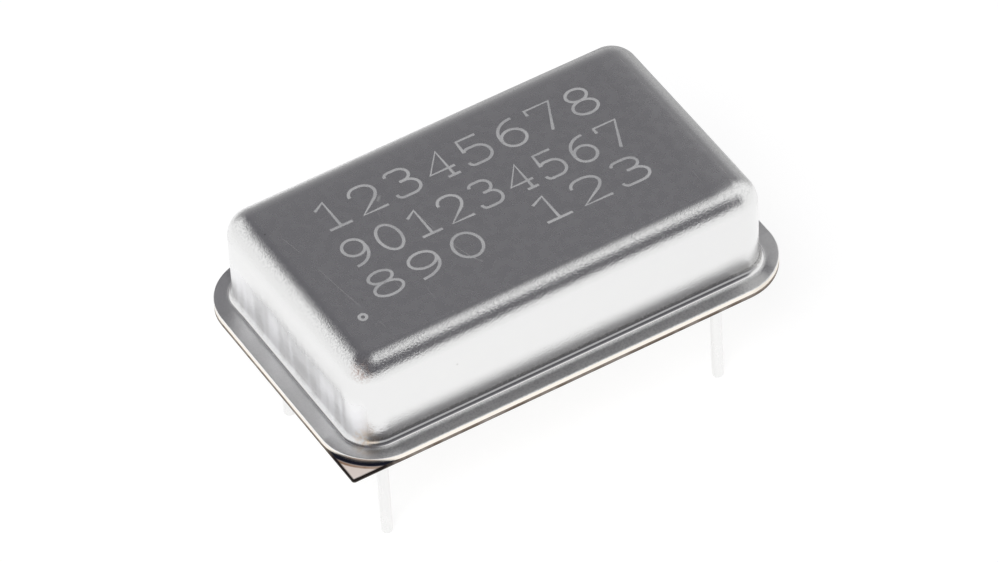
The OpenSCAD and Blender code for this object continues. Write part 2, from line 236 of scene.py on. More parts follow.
def turned_solid(
    path: Sequence[Point], place: Point, rounds: Optional[dict[int, float]] = None, closed: bool = True
) -> Mesh:
    """Section spun a full turn round an upright axis.

    Args:
        path: Points of the section, as distance from the axis and height.
        place: Place of the axis.
        rounds: Radius for each point of the path that is rounded.
        closed: Whether the last point joins the first, as in a ring.

    Returns:
        The turned mesh.
    """
    bm = line_through(((reach, 0.0, level) for reach, level in path), rounds or {}, closed=closed)
    bmesh.ops.spin(
        bm,
        geom=bm.verts[:] + bm.edges[:],
        cent=(0, 0, 0),
        axis=(0, 0, 1),
        dvec=(0, 0, 0),
        angle=math.tau,
        steps=TURN_STEPS,
        use_merge=True,
        use_duplicate=False,
    )
    bmesh.ops.remove_doubles(bm, verts=bm.verts, dist=WELD_DISTANCE)
    bmesh.ops.translate(bm, vec=(*place, 0.0), verts=bm.verts)
    return bm


def joined(parts: Iterable[Mesh]) -> Mesh:
    """Several meshes as one. The given ones are freed.

    Args:
        parts: Meshes that are put together.

    Returns:
        One mesh that holds them all.
    """
    together = bmesh.new()
    for part in parts:
        carrier = bpy.data.meshes.new("carrier")
        part.to_mesh(carrier)
        part.free()
        together.from_mesh(carrier)
        bpy.data.meshes.remove(carrier)
    return together


def set_up(name: str, data: bpy.types.ID) -> bpy.types.Object:
    """Puts a mesh, lamp or camera into the scene.

    Args:
        name: Name of its object.
        data: The mesh, lamp or camera.

    Returns:
        The object.
    """
    thing = bpy.data.objects.new(name, data)
    bpy.context.scene.collection.objects.link(thing)
    return thing


def hand_over(bm: Mesh, name: str, finish: bpy.types.Material, slot: str, *nodes: str) -> None:
    """Args:
        bm: Mesh, which is freed.
        name: Name of the piece.
        finish: Its material.
        slot: Name of its material slot in the record. Not used.
        nodes: Solids that it stands for.
    """
    bmesh.ops.remove_doubles(bm, verts=bm.verts, dist=WELD_DISTANCE)
    bmesh.ops.recalc_face_normals(bm, faces=bm.faces)
    bmesh.ops.scale(bm, vec=(MM, MM, MM), verts=bm.verts)
    mesh = bpy.data.meshes.new(name)
    bm.to_mesh(mesh)
    bm.free()
    mesh.shade_smooth()
    mesh.set_sharp_from_angle(angle=SHARP_ANGLE)
    mesh.materials.append(finish)
    piece = set_up(name, mesh)
    piece.modifiers.new("weighted normals", "WEIGHTED_NORMAL").keep_sharp = True
    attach(piece, "root")
    if nodes:
        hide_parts(*nodes)
    LOG.info("%s: %d faces, stands for %s", name, len(mesh.polygons), ", ".join(nodes) or "nothing")


# ---- Node trees ----


class Nodes:
    """Short way to write a node tree."""

    def __init__(self, tree: bpy.types.NodeTree) -> None:
        """Takes the tree that is written into."""
        self.tree = tree

    def feed(self, value: object, socket: Socket) -> None:
        """Links a socket, or sets a number, vector or colour.

        Args:
            value: What the socket gets.
            socket: The socket.
        """
        if isinstance(value, Socket):
            self.tree.links.new(value, socket)
        elif socket.type == "RGBA":
            socket.default_value = (*value[:3], 1.0)
        else:
            socket.default_value = value

    def add(self, kind: str, inputs: Optional[dict] = None, **settings: object) -> bpy.types.Node:
        """Adds a node.

        Args:
            kind: Blender's name of the node, without its first part.
            inputs: Value or linked socket for each input, by name or number.
            settings: Attributes of the node.

        Returns:
            The node.
        """
        node = self.tree.nodes.new(f"ShaderNode{kind}")
        for name, value in settings.items():
            setattr(node, name, value)
        for name, value in (inputs or {}).items():
            self.feed(value, node.inputs[name])
        return node

    def math(self, operation: str, *values: object, clamp: bool = False) -> Socket:
        """Result of a Math node.

        Args:
            operation: The sum to do.
            values: Numbers or sockets.
            clamp: Whether the result is kept between 0 and 1.

        Returns:
            The result's socket.
        """
        return self.add("Math", dict(enumerate(values)), operation=operation, use_clamp=clamp).outputs[0]

    def chain(self, operation: str, values: Sequence[object]) -> Socket:
        """Result of one Math operation over several values in turn.

        Args:
            operation: The sum to do.
            values: Numbers or sockets.

        Returns:
            The result's socket.
        """
        result = values[0]
        for value in values[1:]:
            result = self.math(operation, result, value)
        return result

    def total(self, *values: object) -> Socket:
        """Sum of several numbers or sockets."""
        return self.chain("ADD", values)

    def product(self, *values: object) -> Socket:
        """Product of several numbers or sockets."""
        return self.chain("MULTIPLY", values)

    def less(self, first: object, second: object, clamp: bool = False) -> Socket:
        """First value less the second."""
        return self.math("SUBTRACT", first, second, clamp=clamp)

    def greater(self, first: object, second: object) -> Socket:
        """Greater one of two values."""
        return self.math("MAXIMUM", first, second)

    def between(
        self, value: object, low: float, high: float, out_low: float = 0.0, out_high: float = 1.0
    ) -> Socket:
        """Smooth step of a value from one level to another.

        Args:
            value: Socket that is read.
            low: Level where the step starts.
            high: Level where it ends.
            out_low: Result below the step.
            out_high: Result above it.

        Returns:
            The result's socket.
        """
        inputs = {"Value": value, "From Min": low, "From Max": high, "To Min": out_low, "To Max": out_high}
        return self.add("MapRange", inputs, interpolation_type="SMOOTHSTEP").outputs[0]

    def under(self, value: object, low: float, high: float) -> Socket:
        """One below the first level, falling to zero at the second."""
        return self.between(value, low, high, 1.0, 0.0)

    def band(self, value: object, low: float, high: float, soft: float) -> Socket:
        """One between two levels and zero outside them, with a fade of a given width inside each level."""
        return self.product(self.between(value, low, low + soft), self.under(value, high - soft, high))

    def mix(self, amount: object, first: object, second: object) -> Socket:
        """Blend of two colours, with the share of the second given."""
        return self.add("Mix", {0: amount, 6: first, 7: second}, data_type="RGBA").outputs[2]

    def layers(self, colour: object, coats: Iterable[tuple[object, object]]) -> Socket:
        """Colour with others laid over it in turn.

        Args:
            colour: The first colour.
            coats: Share and colour of each coat.

        Returns:
            The colour's socket.
        """
        for share, coat in coats:
            colour = self.mix(share, colour, coat)
        return colour

    def noise(self, place: Socket, scale: object, detail: float) -> Socket:
        """Noise from 0 to 1, with most of it near the middle."""
        inputs = {"Vector": place, "Scale": scale, "Detail": detail}
        return self.add("TexNoise", inputs).outputs["Fac"]

    def vector(self, operation: str, first: object, *second: object, output: str = "Vector") -> Socket:
        """Result of a Vector Math node."""
        values = dict(enumerate((first, *second)))
        return self.add("VectorMath", values, operation=operation).outputs[output]

    def gap(self, place: Socket, spot: object) -> Socket:
        """Distance between two places."""
        return self.vector("DISTANCE", place, spot, output="Value")

    def split(self, vector: Socket) -> bpy.types.bpy_prop_collection:
        """Sockets of the three parts of a vector, by name."""
        return self.add("SeparateXYZ", {"Vector": vector}).outputs

    def stretched(self, place: Socket, factors: Spot) -> Socket:
        """Place with each part times a factor."""
        return self.add("Mapping", {"Vector": place, "Scale": factors}).outputs[0]

    def millimetres(self, factors: Spot = (1.0, 1.0, 1.0)) -> Socket:
        """Object coordinates in millimetres, each part times a factor."""
        scale = tuple(factor / MM for factor in factors)
        return self.stretched(self.add("TexCoord").outputs["Object"], scale)


@dataclass(frozen=True)
class Effect:
    """Surface effect that several finishes share, kept as a shader node group."""

    tree: bpy.types.NodeTree
    nodes: Nodes
    source: bpy.types.bpy_prop_collection

    @classmethod
    def start(
        cls, name: str, numbers: dict[str, float], outputs: Sequence[str], spot: bool = False
    ) -> "Effect":
        """Starts a group, which gets coordinates in millimetres as Place.

        Args:
            name: Name of the group.
            numbers: Default of each number that goes in, by name.
            outputs: Names of the numbers that come out.
            spot: Whether a second place goes in as Spot.

        Returns:
            The effect, with its group still empty.
        """
        tree = bpy.data.node_groups.new(name, "ShaderNodeTree")
        for label in ("Place", "Spot") if spot else ("Place",):
            tree.interface.new_socket(name=label, in_out="INPUT", socket_type="NodeSocketVector")
        for label, value in numbers.items():
            socket = tree.interface.new_socket(name=label, in_out="INPUT", socket_type="NodeSocketFloat")
            socket.default_value = value
        for label in outputs:
            tree.interface.new_socket(name=label, in_out="OUTPUT", socket_type="NodeSocketFloat")
        return cls(tree, Nodes(tree), tree.nodes.new("NodeGroupInput").outputs)

    def close(self, **results: Socket) -> bpy.types.NodeTree:
        """Links what comes out of the group.

        Args:
            results: Socket for each output.

        Returns:
            The finished group.
        """
        ends = self.tree.nodes.new("NodeGroupOutput").inputs
        for label, socket in results.items():
            self.nodes.feed(socket, ends[label])
        return self.tree


class Effects:
    """The shared effects."""

    def __init__(self) -> None:
        """Builds the groups."""
        self.grain = self.grain_group()
        self.scratches = self.scratch_group()
        self.draw_marks = self.draw_group()
        self.stain = self.stain_group()
        self.pits = self.pit_group()

    def grain_group(self, slowness: float = 0.09, levels: Point = (0.35, 0.65)) -> bpy.types.NodeTree:
        """Fine pebbled grain of rolled sheet or fired paste, with slower clouds over it.

        Args:
            slowness: Scale of the clouds, as a share of the grain's.
            levels: Levels of their noise where they start and are full.

        Returns:
            The group, with Height and Clouds.
        """
        effect = Effect.start("fine grain", {"Size": 0.05}, ("Height", "Clouds"))
        nodes, place = effect.nodes, effect.source["Place"]
        scale = nodes.math("DIVIDE", 1.0, effect.source["Size"])
        slow = nodes.noise(place, nodes.product(scale, slowness), detail=3.0)
        return effect.close(Height=nodes.noise(place, scale, detail=2.0), Clouds=nodes.between(slow, *levels))

    def scratch_group(self, breaks: float = 1.3, levels: Point = (0.55, 0.62)) -> bpy.types.NodeTree:
        """Sparse hair scratches: thin contour lines of a noise, broken up along their length.

        Args:
            breaks: Scale of the noise that breaks them.
            levels: Levels of that noise where they start and are full.

        Returns:
            The group, with the scratches as Mask.
        """
        effect = Effect.start("hair scratches", {"Density": 0.5, "Width": 0.012}, ("Mask",))
        nodes, place = effect.nodes, effect.source["Place"]
        lines = nodes.noise(place, effect.source["Density"], detail=0.0)
        off = nodes.math("ABSOLUTE", nodes.less(lines, 0.5))
        thin = nodes.less(1.0, nodes.math("DIVIDE", off, effect.source["Width"]), clamp=True)
        kept = nodes.between(nodes.noise(place, breaks, detail=2.0), *levels)
        return effect.close(Mask=nodes.product(thin, kept))

    def draw_group(self, flatness: float = 0.11) -> bpy.types.NodeTree:
        """Upright marks that a drawing die leaves on a wall.

        Args:
            flatness: Width of a mark as a share of its length.

        Returns:
            The group, with Height.
        """
        effect = Effect.start("draw marks", {"Pitch": 0.15}, ("Height",))
        nodes = effect.nodes
        place = nodes.stretched(effect.source["Place"], (1.0, 1.0, flatness))
        scale = nodes.math("DIVIDE", 1.0, effect.source["Pitch"])
        return effect.close(Height=nodes.noise(place, scale, detail=1.0))

    def stain_group(self, mottle_levels: Point = (0.36, 0.66)) -> bpy.types.NodeTree:
        """Mottled stain that fades out round a spot.

        Args:
            mottle_levels: Levels of its noise where it starts and is full.

        Returns:
            The group, with the stain as Mask.
        """
        effect = Effect.start("stain", {"Reach": 0.5, "Break": 8.0}, ("Mask",), spot=True)
        nodes, place = effect.nodes, effect.source["Place"]
        gap = nodes.gap(place, effect.source["Spot"])
        near = nodes.less(1.0, nodes.math("DIVIDE", gap, effect.source["Reach"]), clamp=True)
        spots = nodes.between(nodes.noise(place, effect.source["Break"], detail=3.0), *mottle_levels)
        return effect.close(Mask=nodes.product(near, spots))

    def pit_group(self, chosen: Point = (0.55, 0.6)) -> bpy.types.NodeTree:
        """Rare small pits and specks.

        Args:
            chosen: Levels of a cell's tone past which it has a pit.

        Returns:
            The group, with the pits as Mask.
        """
        effect = Effect.start("pits", {"Spacing": 1.2, "Radius": 0.04}, ("Mask",))
        nodes, source = effect.nodes, effect.source
        inputs = {"Vector": source["Place"], "Scale": nodes.math("DIVIDE", 1.0, source["Spacing"])}
        cells = nodes.add("TexVoronoi", {**inputs, "Randomness": 1.0}).outputs
        gap = nodes.product(cells["Distance"], source["Spacing"])
        close = nodes.less(1.0, nodes.math("DIVIDE", gap, source["Radius"]), clamp=True)
        tone = nodes.add("SeparateColor", {"Color": cells["Color"]}).outputs["Red"]
        return effect.close(Mask=nodes.product(close, nodes.between(tone, *chosen)))


# ---- Finishes ----


class Streak(Enum):
    """Direction in which a finish is drawn out, as the stretch of its grain along X, Y and Z."""

    NONE = (1.0, 1.0, 1.0)
    ALONG_Y = (1.0, 0.12, 1.0)


class Skin(Nodes):
    """Node tree of a material, with the shared effects at hand."""

    def __init__(self, name: str, effects: Optional[Effects] = None) -> None:
        """Makes an empty material.

        Args:
            name: Name of the material.
            effects: The shared effects, where it needs them.
        """
        self.material = bpy.data.materials.new(name)
        self.material.use_nodes = True
        super().__init__(self.material.node_tree)
        self.effects = effects
        self.place = self.millimetres()

    def put(self, values: dict[str, object]) -> None:
        """Sets or links inputs of the Principled shader, by name."""
        for name, value in values.items():
            self.feed(value, self.tree.nodes["Principled BSDF"].inputs[name])

    def shared(self, effect: bpy.types.NodeTree, **inputs: object) -> bpy.types.bpy_prop_collection:
        """Places a shared effect.

        Args:
            effect: Its group.
            inputs: Value or socket for each of its inputs. Place may be left out.

        Returns:
            Its outputs, by name.
        """
        return self.add("Group", {"Place": self.place, **inputs}, node_tree=effect).outputs

    def grain(self, size: float, place: Optional[Socket] = None) -> bpy.types.bpy_prop_collection:
        """Height and Clouds of a grain of a given size."""
        return self.shared(self.effects.grain, Size=size, Place=place or self.place)

    def marks(self, pitch: float) -> Socket:
        """Height of draw marks with a given pitch."""
        return self.shared(self.effects.draw_marks, Pitch=pitch)["Height"]

    def stain(self, spot: Spot, reach: float, breaks: float) -> Socket:
        """Mask of a stain round a spot, with its reach and the scale of its mottle."""
        return self.shared(self.effects.stain, Spot=spot, Reach=reach, Break=breaks)["Mask"]

    def pits(self, spacing: float, radius: float) -> Socket:
        """Mask of pits with a given spacing and radius."""
        return self.shared(self.effects.pits, Spacing=spacing, Radius=radius)["Mask"]

    def dull(self, roughness: object, clouds: Socket, share: float) -> None:
        """Sets the roughness, which clouds make up to a given share smaller or greater."""
        shade = self.between(clouds, 0.0, 1.0, 1.0 - share, 1.0 + share)
        self.put({"Roughness": self.product(roughness, shade)})

    def relief(self, height: Socket) -> None:
        """Raises the surface by a height in millimetres."""
        self.put({"Normal": self.add("Bump", {"Height": height, "Distance": MM}).outputs["Normal"]})


@dataclass(frozen=True)
class Finish:
    """What every finish has."""

    name: str
    colour: Colour
    roughness: float
    metallic: ClassVar[float] = 1.0

    def build(self, effects: Effects) -> bpy.types.Material:
        """Makes the material.

        Args:
            effects: Shared effects.

        Returns:
            The material.
        """
        skin = Skin(self.name, effects)
        skin.put({"Metallic": self.metallic})
        self.paint(skin)
        return skin.material

    def paint(self, skin: Skin) -> None:
        """Writes the look into the material."""
        raise NotImplementedError


@dataclass(frozen=True)
class Metal(Finish):
    """Bare or plated metal with a fine grain and clouds of tarnish."""

    grain: float = 0.05
    depth: float = 0.0004
    streak: Streak = Streak.NONE
    tarnish: Colour = (0.42, 0.36, 0.28)
    tarnish_share: float = 0.15
    tarnish_levels: Point = (0.5, 0.75)
    tarnish_scale: float = 0.9
    wave: float = 0.0
    wave_scale: float = 2.2
    clouding: float = 0.2

    def paint(self, skin: Skin) -> None:
        """Writes the look into the material.

        Args:
            skin: The material.
        """
        grain = skin.grain(self.grain, skin.millimetres(self.streak.value))
        cloud = skin.noise(skin.place, self.tarnish_scale, detail=4.0)
        share = skin.between(cloud, *self.tarnish_levels, 0.0, self.tarnish_share)
        skin.put({"Base Color": skin.mix(share, self.colour, self.tarnish)})
        skin.dull(self.roughness, grain["Clouds"], self.clouding)
        waves = skin.product(skin.noise(skin.place, self.wave_scale, detail=1.0), self.wave)
        skin.relief(skin.total(skin.product(grain["Height"], self.depth), waves))


@dataclass(frozen=True)
class Earth(Finish):
    """Ceramic, glue, glass or another finish that isn't metal."""

    metallic: ClassVar[float] = 0.0
    speckle: Colour = (0.5, 0.5, 0.5)
    grain: float = 0.05
    depth: float = 0.001
    clear: float = 0.0
    bend: float = 1.5
    pit_spacing: float = 6.0
    pit_share: float = 0.5
    grain_levels: Point = (0.3, 0.7)
    polish: Point = (0.8, 1.2)

    def paint(self, skin: Skin) -> None:
        """Writes the look into the material.

        Args:
            skin: The material.
        """
        grain = skin.grain(self.grain)
        pits = skin.pits(self.grain * self.pit_spacing, self.grain)
        coats = ((grain["Clouds"], self.speckle), (skin.product(pits, self.pit_share), self.speckle))
        low, high = (self.roughness * share for share in self.polish)
        skin.put(
            {
                "Base Color": skin.layers(self.colour, coats),
                "Roughness": skin.between(grain["Height"], *self.grain_levels, low, high),
                "Transmission Weight": self.clear,
                "IOR": self.bend,
            }
        )
        skin.relief(skin.product(skin.less(grain["Height"], pits), self.depth))


@dataclass(frozen=True)
class CanPlate(Finish):
    """Bright plate on the drawn can: satin top, pebbled edges, mirror-like walls and a duller flange.

    Levels below the top and above the flange are measured from those faces. Some colours are painted light:
    shade in the foot fillet and at the wall's foot, a darker fillet line on the front, and a lighter sheen on
    the flange's ends, the frosted spot and the scuffed left wall.
    """

    top: float
    flange_top: float
    edge_radius: float
    top_fade: Point = (0.0, 0.03)
    edge_share: float = 0.9
    edge_soft: float = 0.06
    brow_fade: Point = (0.3, 0.55)
    pebble_share: float = 0.75
    pebble_soft: float = 0.2
    flange_fade: Point = (0.021, 0.03)
    cut_fade: Point = (-0.04, -0.02)
    foot_band: Band = (0.015, 0.3, 0.02)
    low_band: Band = (0.25, 1.6, 0.5)
    wall_from: float = 0.3
    wall_share: float = 0.5
    wall_soft: float = 0.4
    end_fade: Point = (9.0, 9.5)
    front_fade: Point = (-5.45, -5.3)
    foot_roughness: float = 0.13
    # Painted shade: a darker line in the foot fillet, on the front side only.
    front_shade_band: Band = (0.085, 0.3, 0.04)
    line_colour: Colour = (0.42, 0.42, 0.425)
    end_haze: float = 0.22
    # Painted sheen: a lighter colour on the flange at both ends and at the frosted spot.
    sheen_share: float = 0.75
    sheen_colour: Colour = (0.95, 0.95, 0.94)
    crown_end: Point = (7.2, 9.5)
    crown_back: Point = (3.5, 5.6)
    crown_depth: Point = (0.17, 0.1)
    top_roughness: float = 0.27
    edge_roughness: float = 0.15
    flange_roughness: float = 0.33
    scratch_stretch: Spot = (1.0, 0.16, 1.0)
    scratch_density: float = 0.55
    scratch_width: float = 0.006
    scratch_roughness: float = 0.25
    grain: float = 0.04
    clouding: float = 0.08
    edge_depth: float = 0.007
    pebble_depth: float = 0.0095
    # Frosted spot on the flange near the right corner: rougher, and its lighter colour is a painted
    # highlight.
    frost_and_glint_spot: Spot = (8.3, -5.95, 0.73)
    frost_and_glint_fade: Point = (0.1, 0.75)
    frost_roughness: float = 0.4
    flange_depth: float = 0.008
    wall_depth: float = 0.0007
    low_depth: float = 0.003
    ragged_depth: float = 0.012
    draw_pitch: float = 0.16
    draw_depth: float = 0.005
    wave_scale: float = 0.7
    wave_depth: float = 0.004
    cut_colour: Colour = (0.95, 0.90, 0.815)
    speck_spacing: float = 1.6
    speck_radius: float = 0.05
    speck_share: float = 0.75
    speck_colour: Colour = (0.10, 0.09, 0.08)
    mottle_size: float = 0.085
    mottle_levels: Point = (0.42, 0.66)
    mottle_share: float = 0.38
    mottle_colour: Colour = (0.46, 0.46, 0.47)
    # Painted shade: a mottled dark band in the foot fillet, and a darkening of the wall towards its foot.
    fillet_shade_band: Band = (0.18, 0.44, 0.1)
    foot_shade_levels: Point = (0.2, 0.6)
    foot_shade_colour: Colour = (0.40, 0.39, 0.38)
    low_wall_shade_fade: Point = (0.3, 0.8)
    low_wall_shade_share: float = 0.6
    stain_spot: Spot = (-8.75, -4.95, 4.55)
    stain_reach: float = 0.6
    stain_breaks: float = 11.0
    stain_share: float = 0.9
    stain_roughness: float = 0.25
    stain_colour: Colour = (0.42, 0.29, 0.25)
    worn_fade: Point = (0.5, 3.5)
    worn_share: Point = (1.25, 0.6)
    foot_spot: Spot = (-8.85, -5.1, 0.95)
    foot_reach: float = 0.7
    foot_breaks: float = 5.0
    foot_share: float = 0.75
    foot_colour: Colour = (0.74, 0.57, 0.38)
    # Scuffs low on the left wall: rougher streaks whose lighter, bluish colour is a painted reflection.
    scuff_side: Point = (-8.6, -9.0)
    scuff_fade: Point = (2.0, 3.3)
    scuff_foot: Point = (0.05, 0.13)
    scuff_pitch: float = 0.55
    scuff_levels: Point = (0.35, 0.6)
    scuff_share: Point = (0.55, 1.0)
    scuff_roughness: float = 0.38
    scuff_sheen_colour: Colour = (0.965, 0.965, 0.98)

    def paint(self, skin: Skin) -> None:
        """Writes the look into the material.

        Args:
            skin: The material.
        """
        parts = skin.split(skin.place)
        drop = skin.less(self.top, parts["Z"])
        rise = skin.less(parts["Z"], self.flange_top)
        wall_end = self.top - self.flange_top - self.edge_radius * self.wall_share
        on_top = skin.under(drop, *self.top_fade)
        on_edge = skin.band(drop, 0.0, self.edge_radius * self.edge_share, self.edge_soft)
        on_pebbles = skin.band(drop, 0.0, self.edge_radius * self.pebble_share, self.pebble_soft)
        on_flange = skin.under(rise, *self.flange_fade)
        on_cut = skin.under(rise, *self.cut_fade)
        on_foot = skin.band(rise, *self.foot_band)
        on_low_wall = skin.band(rise, *self.low_band)
        on_wall = skin.band(rise, self.wall_from, wall_end, self.wall_soft)
        on_side = skin.between(parts["X"], *self.scuff_side)
        on_end = skin.between(parts["X"], *self.end_fade)
        on_front = skin.under(parts["Y"], *self.front_fade)
        off_foot = skin.between(rise, *self.scuff_foot)

        grain = skin.grain(self.grain)
        mottle = skin.grain(self.mottle_size)["Height"]
        specks = skin.pits(self.speck_spacing, self.speck_radius)
        stain = skin.stain(self.stain_spot, self.stain_reach, self.stain_breaks)
        warm = skin.stain(self.foot_spot, self.foot_reach, self.foot_breaks)
        hairs = {"Density": self.scratch_density, "Width": self.scratch_width}
        drawn_out = skin.stretched(skin.place, self.scratch_stretch)
        scratches = skin.shared(skin.effects.scratches, Place=drawn_out, **hairs)["Mask"]
        lowness = skin.under(parts["Z"], *self.scuff_fade)
        streaks = skin.between(skin.marks(self.scuff_pitch), *self.scuff_levels, *self.scuff_share)
        # Scuffed streaks: their roughness is real, their lighter bluish colour is a painted reflection.
        scuff_and_sheen = skin.product(on_side, lowness, off_foot, streaks)
        # Rougher frosted spot, whose lighter colour is a painted highlight.
        frost_and_glint = skin.product(skin.under(skin.gap(skin.place, self.frost_and_glint_spot), *self.frost_and_glint_fade), on_flange)
        # Painted sheen on the flange's ends and at the frosted spot.
        flange_sheen = skin.greater(skin.product(skin.greater(on_side, on_end), on_flange), frost_and_glint)
        worn = skin.between(skin.gap(skin.place, self.stain_spot), *self.worn_fade, *self.worn_share)
        on_brow = skin.product(on_edge, skin.under(drop, *self.brow_fade), worn)
        uneven = skin.product(skin.between(mottle, *self.mottle_levels), skin.greater(on_brow, on_flange))
        # Painted shade: the wall gets darker towards its foot.
        low_wall_shade = skin.product(skin.between(rise, *self.low_wall_shade_fade, self.low_wall_shade_share, 0.0), off_foot)
        # Painted shade in the foot fillet, joined with the shade at the wall's foot.
        foot_shade = skin.greater(skin.band(rise, *self.fillet_shade_band), low_wall_shade)
        coats = (
            (skin.product(uneven, self.mottle_share), self.mottle_colour),
            # Painted shade at the foot, broken up by the mottle.
            (skin.product(foot_shade, skin.between(mottle, *self.foot_shade_levels)), self.foot_shade_colour),
            # Painted shade: darker line in the foot fillet on the front side.
            (skin.product(skin.band(rise, *self.front_shade_band), on_front), self.line_colour),
            # Painted sheen lightens the flange.
            (skin.product(flange_sheen, self.sheen_share), self.sheen_colour),
            (on_cut, self.cut_colour),
            # Painted reflection: the scuffed streaks are lighter and bluish.
            (scuff_and_sheen, self.scuff_sheen_colour),
            (skin.product(stain, self.stain_share), self.stain_colour),
            (skin.product(warm, self.foot_share), self.foot_colour),
            (skin.product(specks, self.speck_share), self.speck_colour),
        )
        skin.put({"Base Color": skin.layers(self.colour, coats)})
        spread = skin.total(
            self.roughness,
            skin.product(on_top, self.top_roughness - self.roughness),
            skin.product(on_edge, self.edge_roughness - self.roughness),
            skin.product(on_flange, self.flange_roughness - self.roughness),
            skin.product(on_foot, self.foot_roughness - self.roughness),
            skin.product(on_flange, on_end, self.end_haze),
            skin.product(frost_and_glint, self.frost_roughness),
            skin.product(scratches, on_top, self.scratch_roughness),
            skin.product(stain, self.stain_roughness),
            skin.product(scuff_and_sheen, self.scuff_roughness),
        )
        skin.dull(spread, grain["Clouds"], self.clouding)
        depth = skin.total(
            self.wall_depth,
            skin.product(on_edge, self.edge_depth),
            skin.product(on_low_wall, self.low_depth),
            skin.product(on_flange, self.flange_depth),
        )
        pebbles = skin.less(mottle, 0.5)
        skin.relief(
            skin.total(
                skin.product(grain["Height"], depth),
                skin.product(skin.between(parts["X"], *self.crown_end), -self.crown_depth[0]),
                skin.product(skin.between(parts["Y"], *self.crown_back), -self.crown_depth[1]),
                skin.product(skin.marks(self.draw_pitch), on_wall, self.draw_depth),
                skin.product(skin.noise(skin.place, self.wave_scale, detail=2.0), on_wall, self.wave_depth),
                skin.product(pebbles, on_low_wall, self.ragged_depth),
                skin.product(pebbles, on_pebbles, self.pebble_depth),
            )
        )


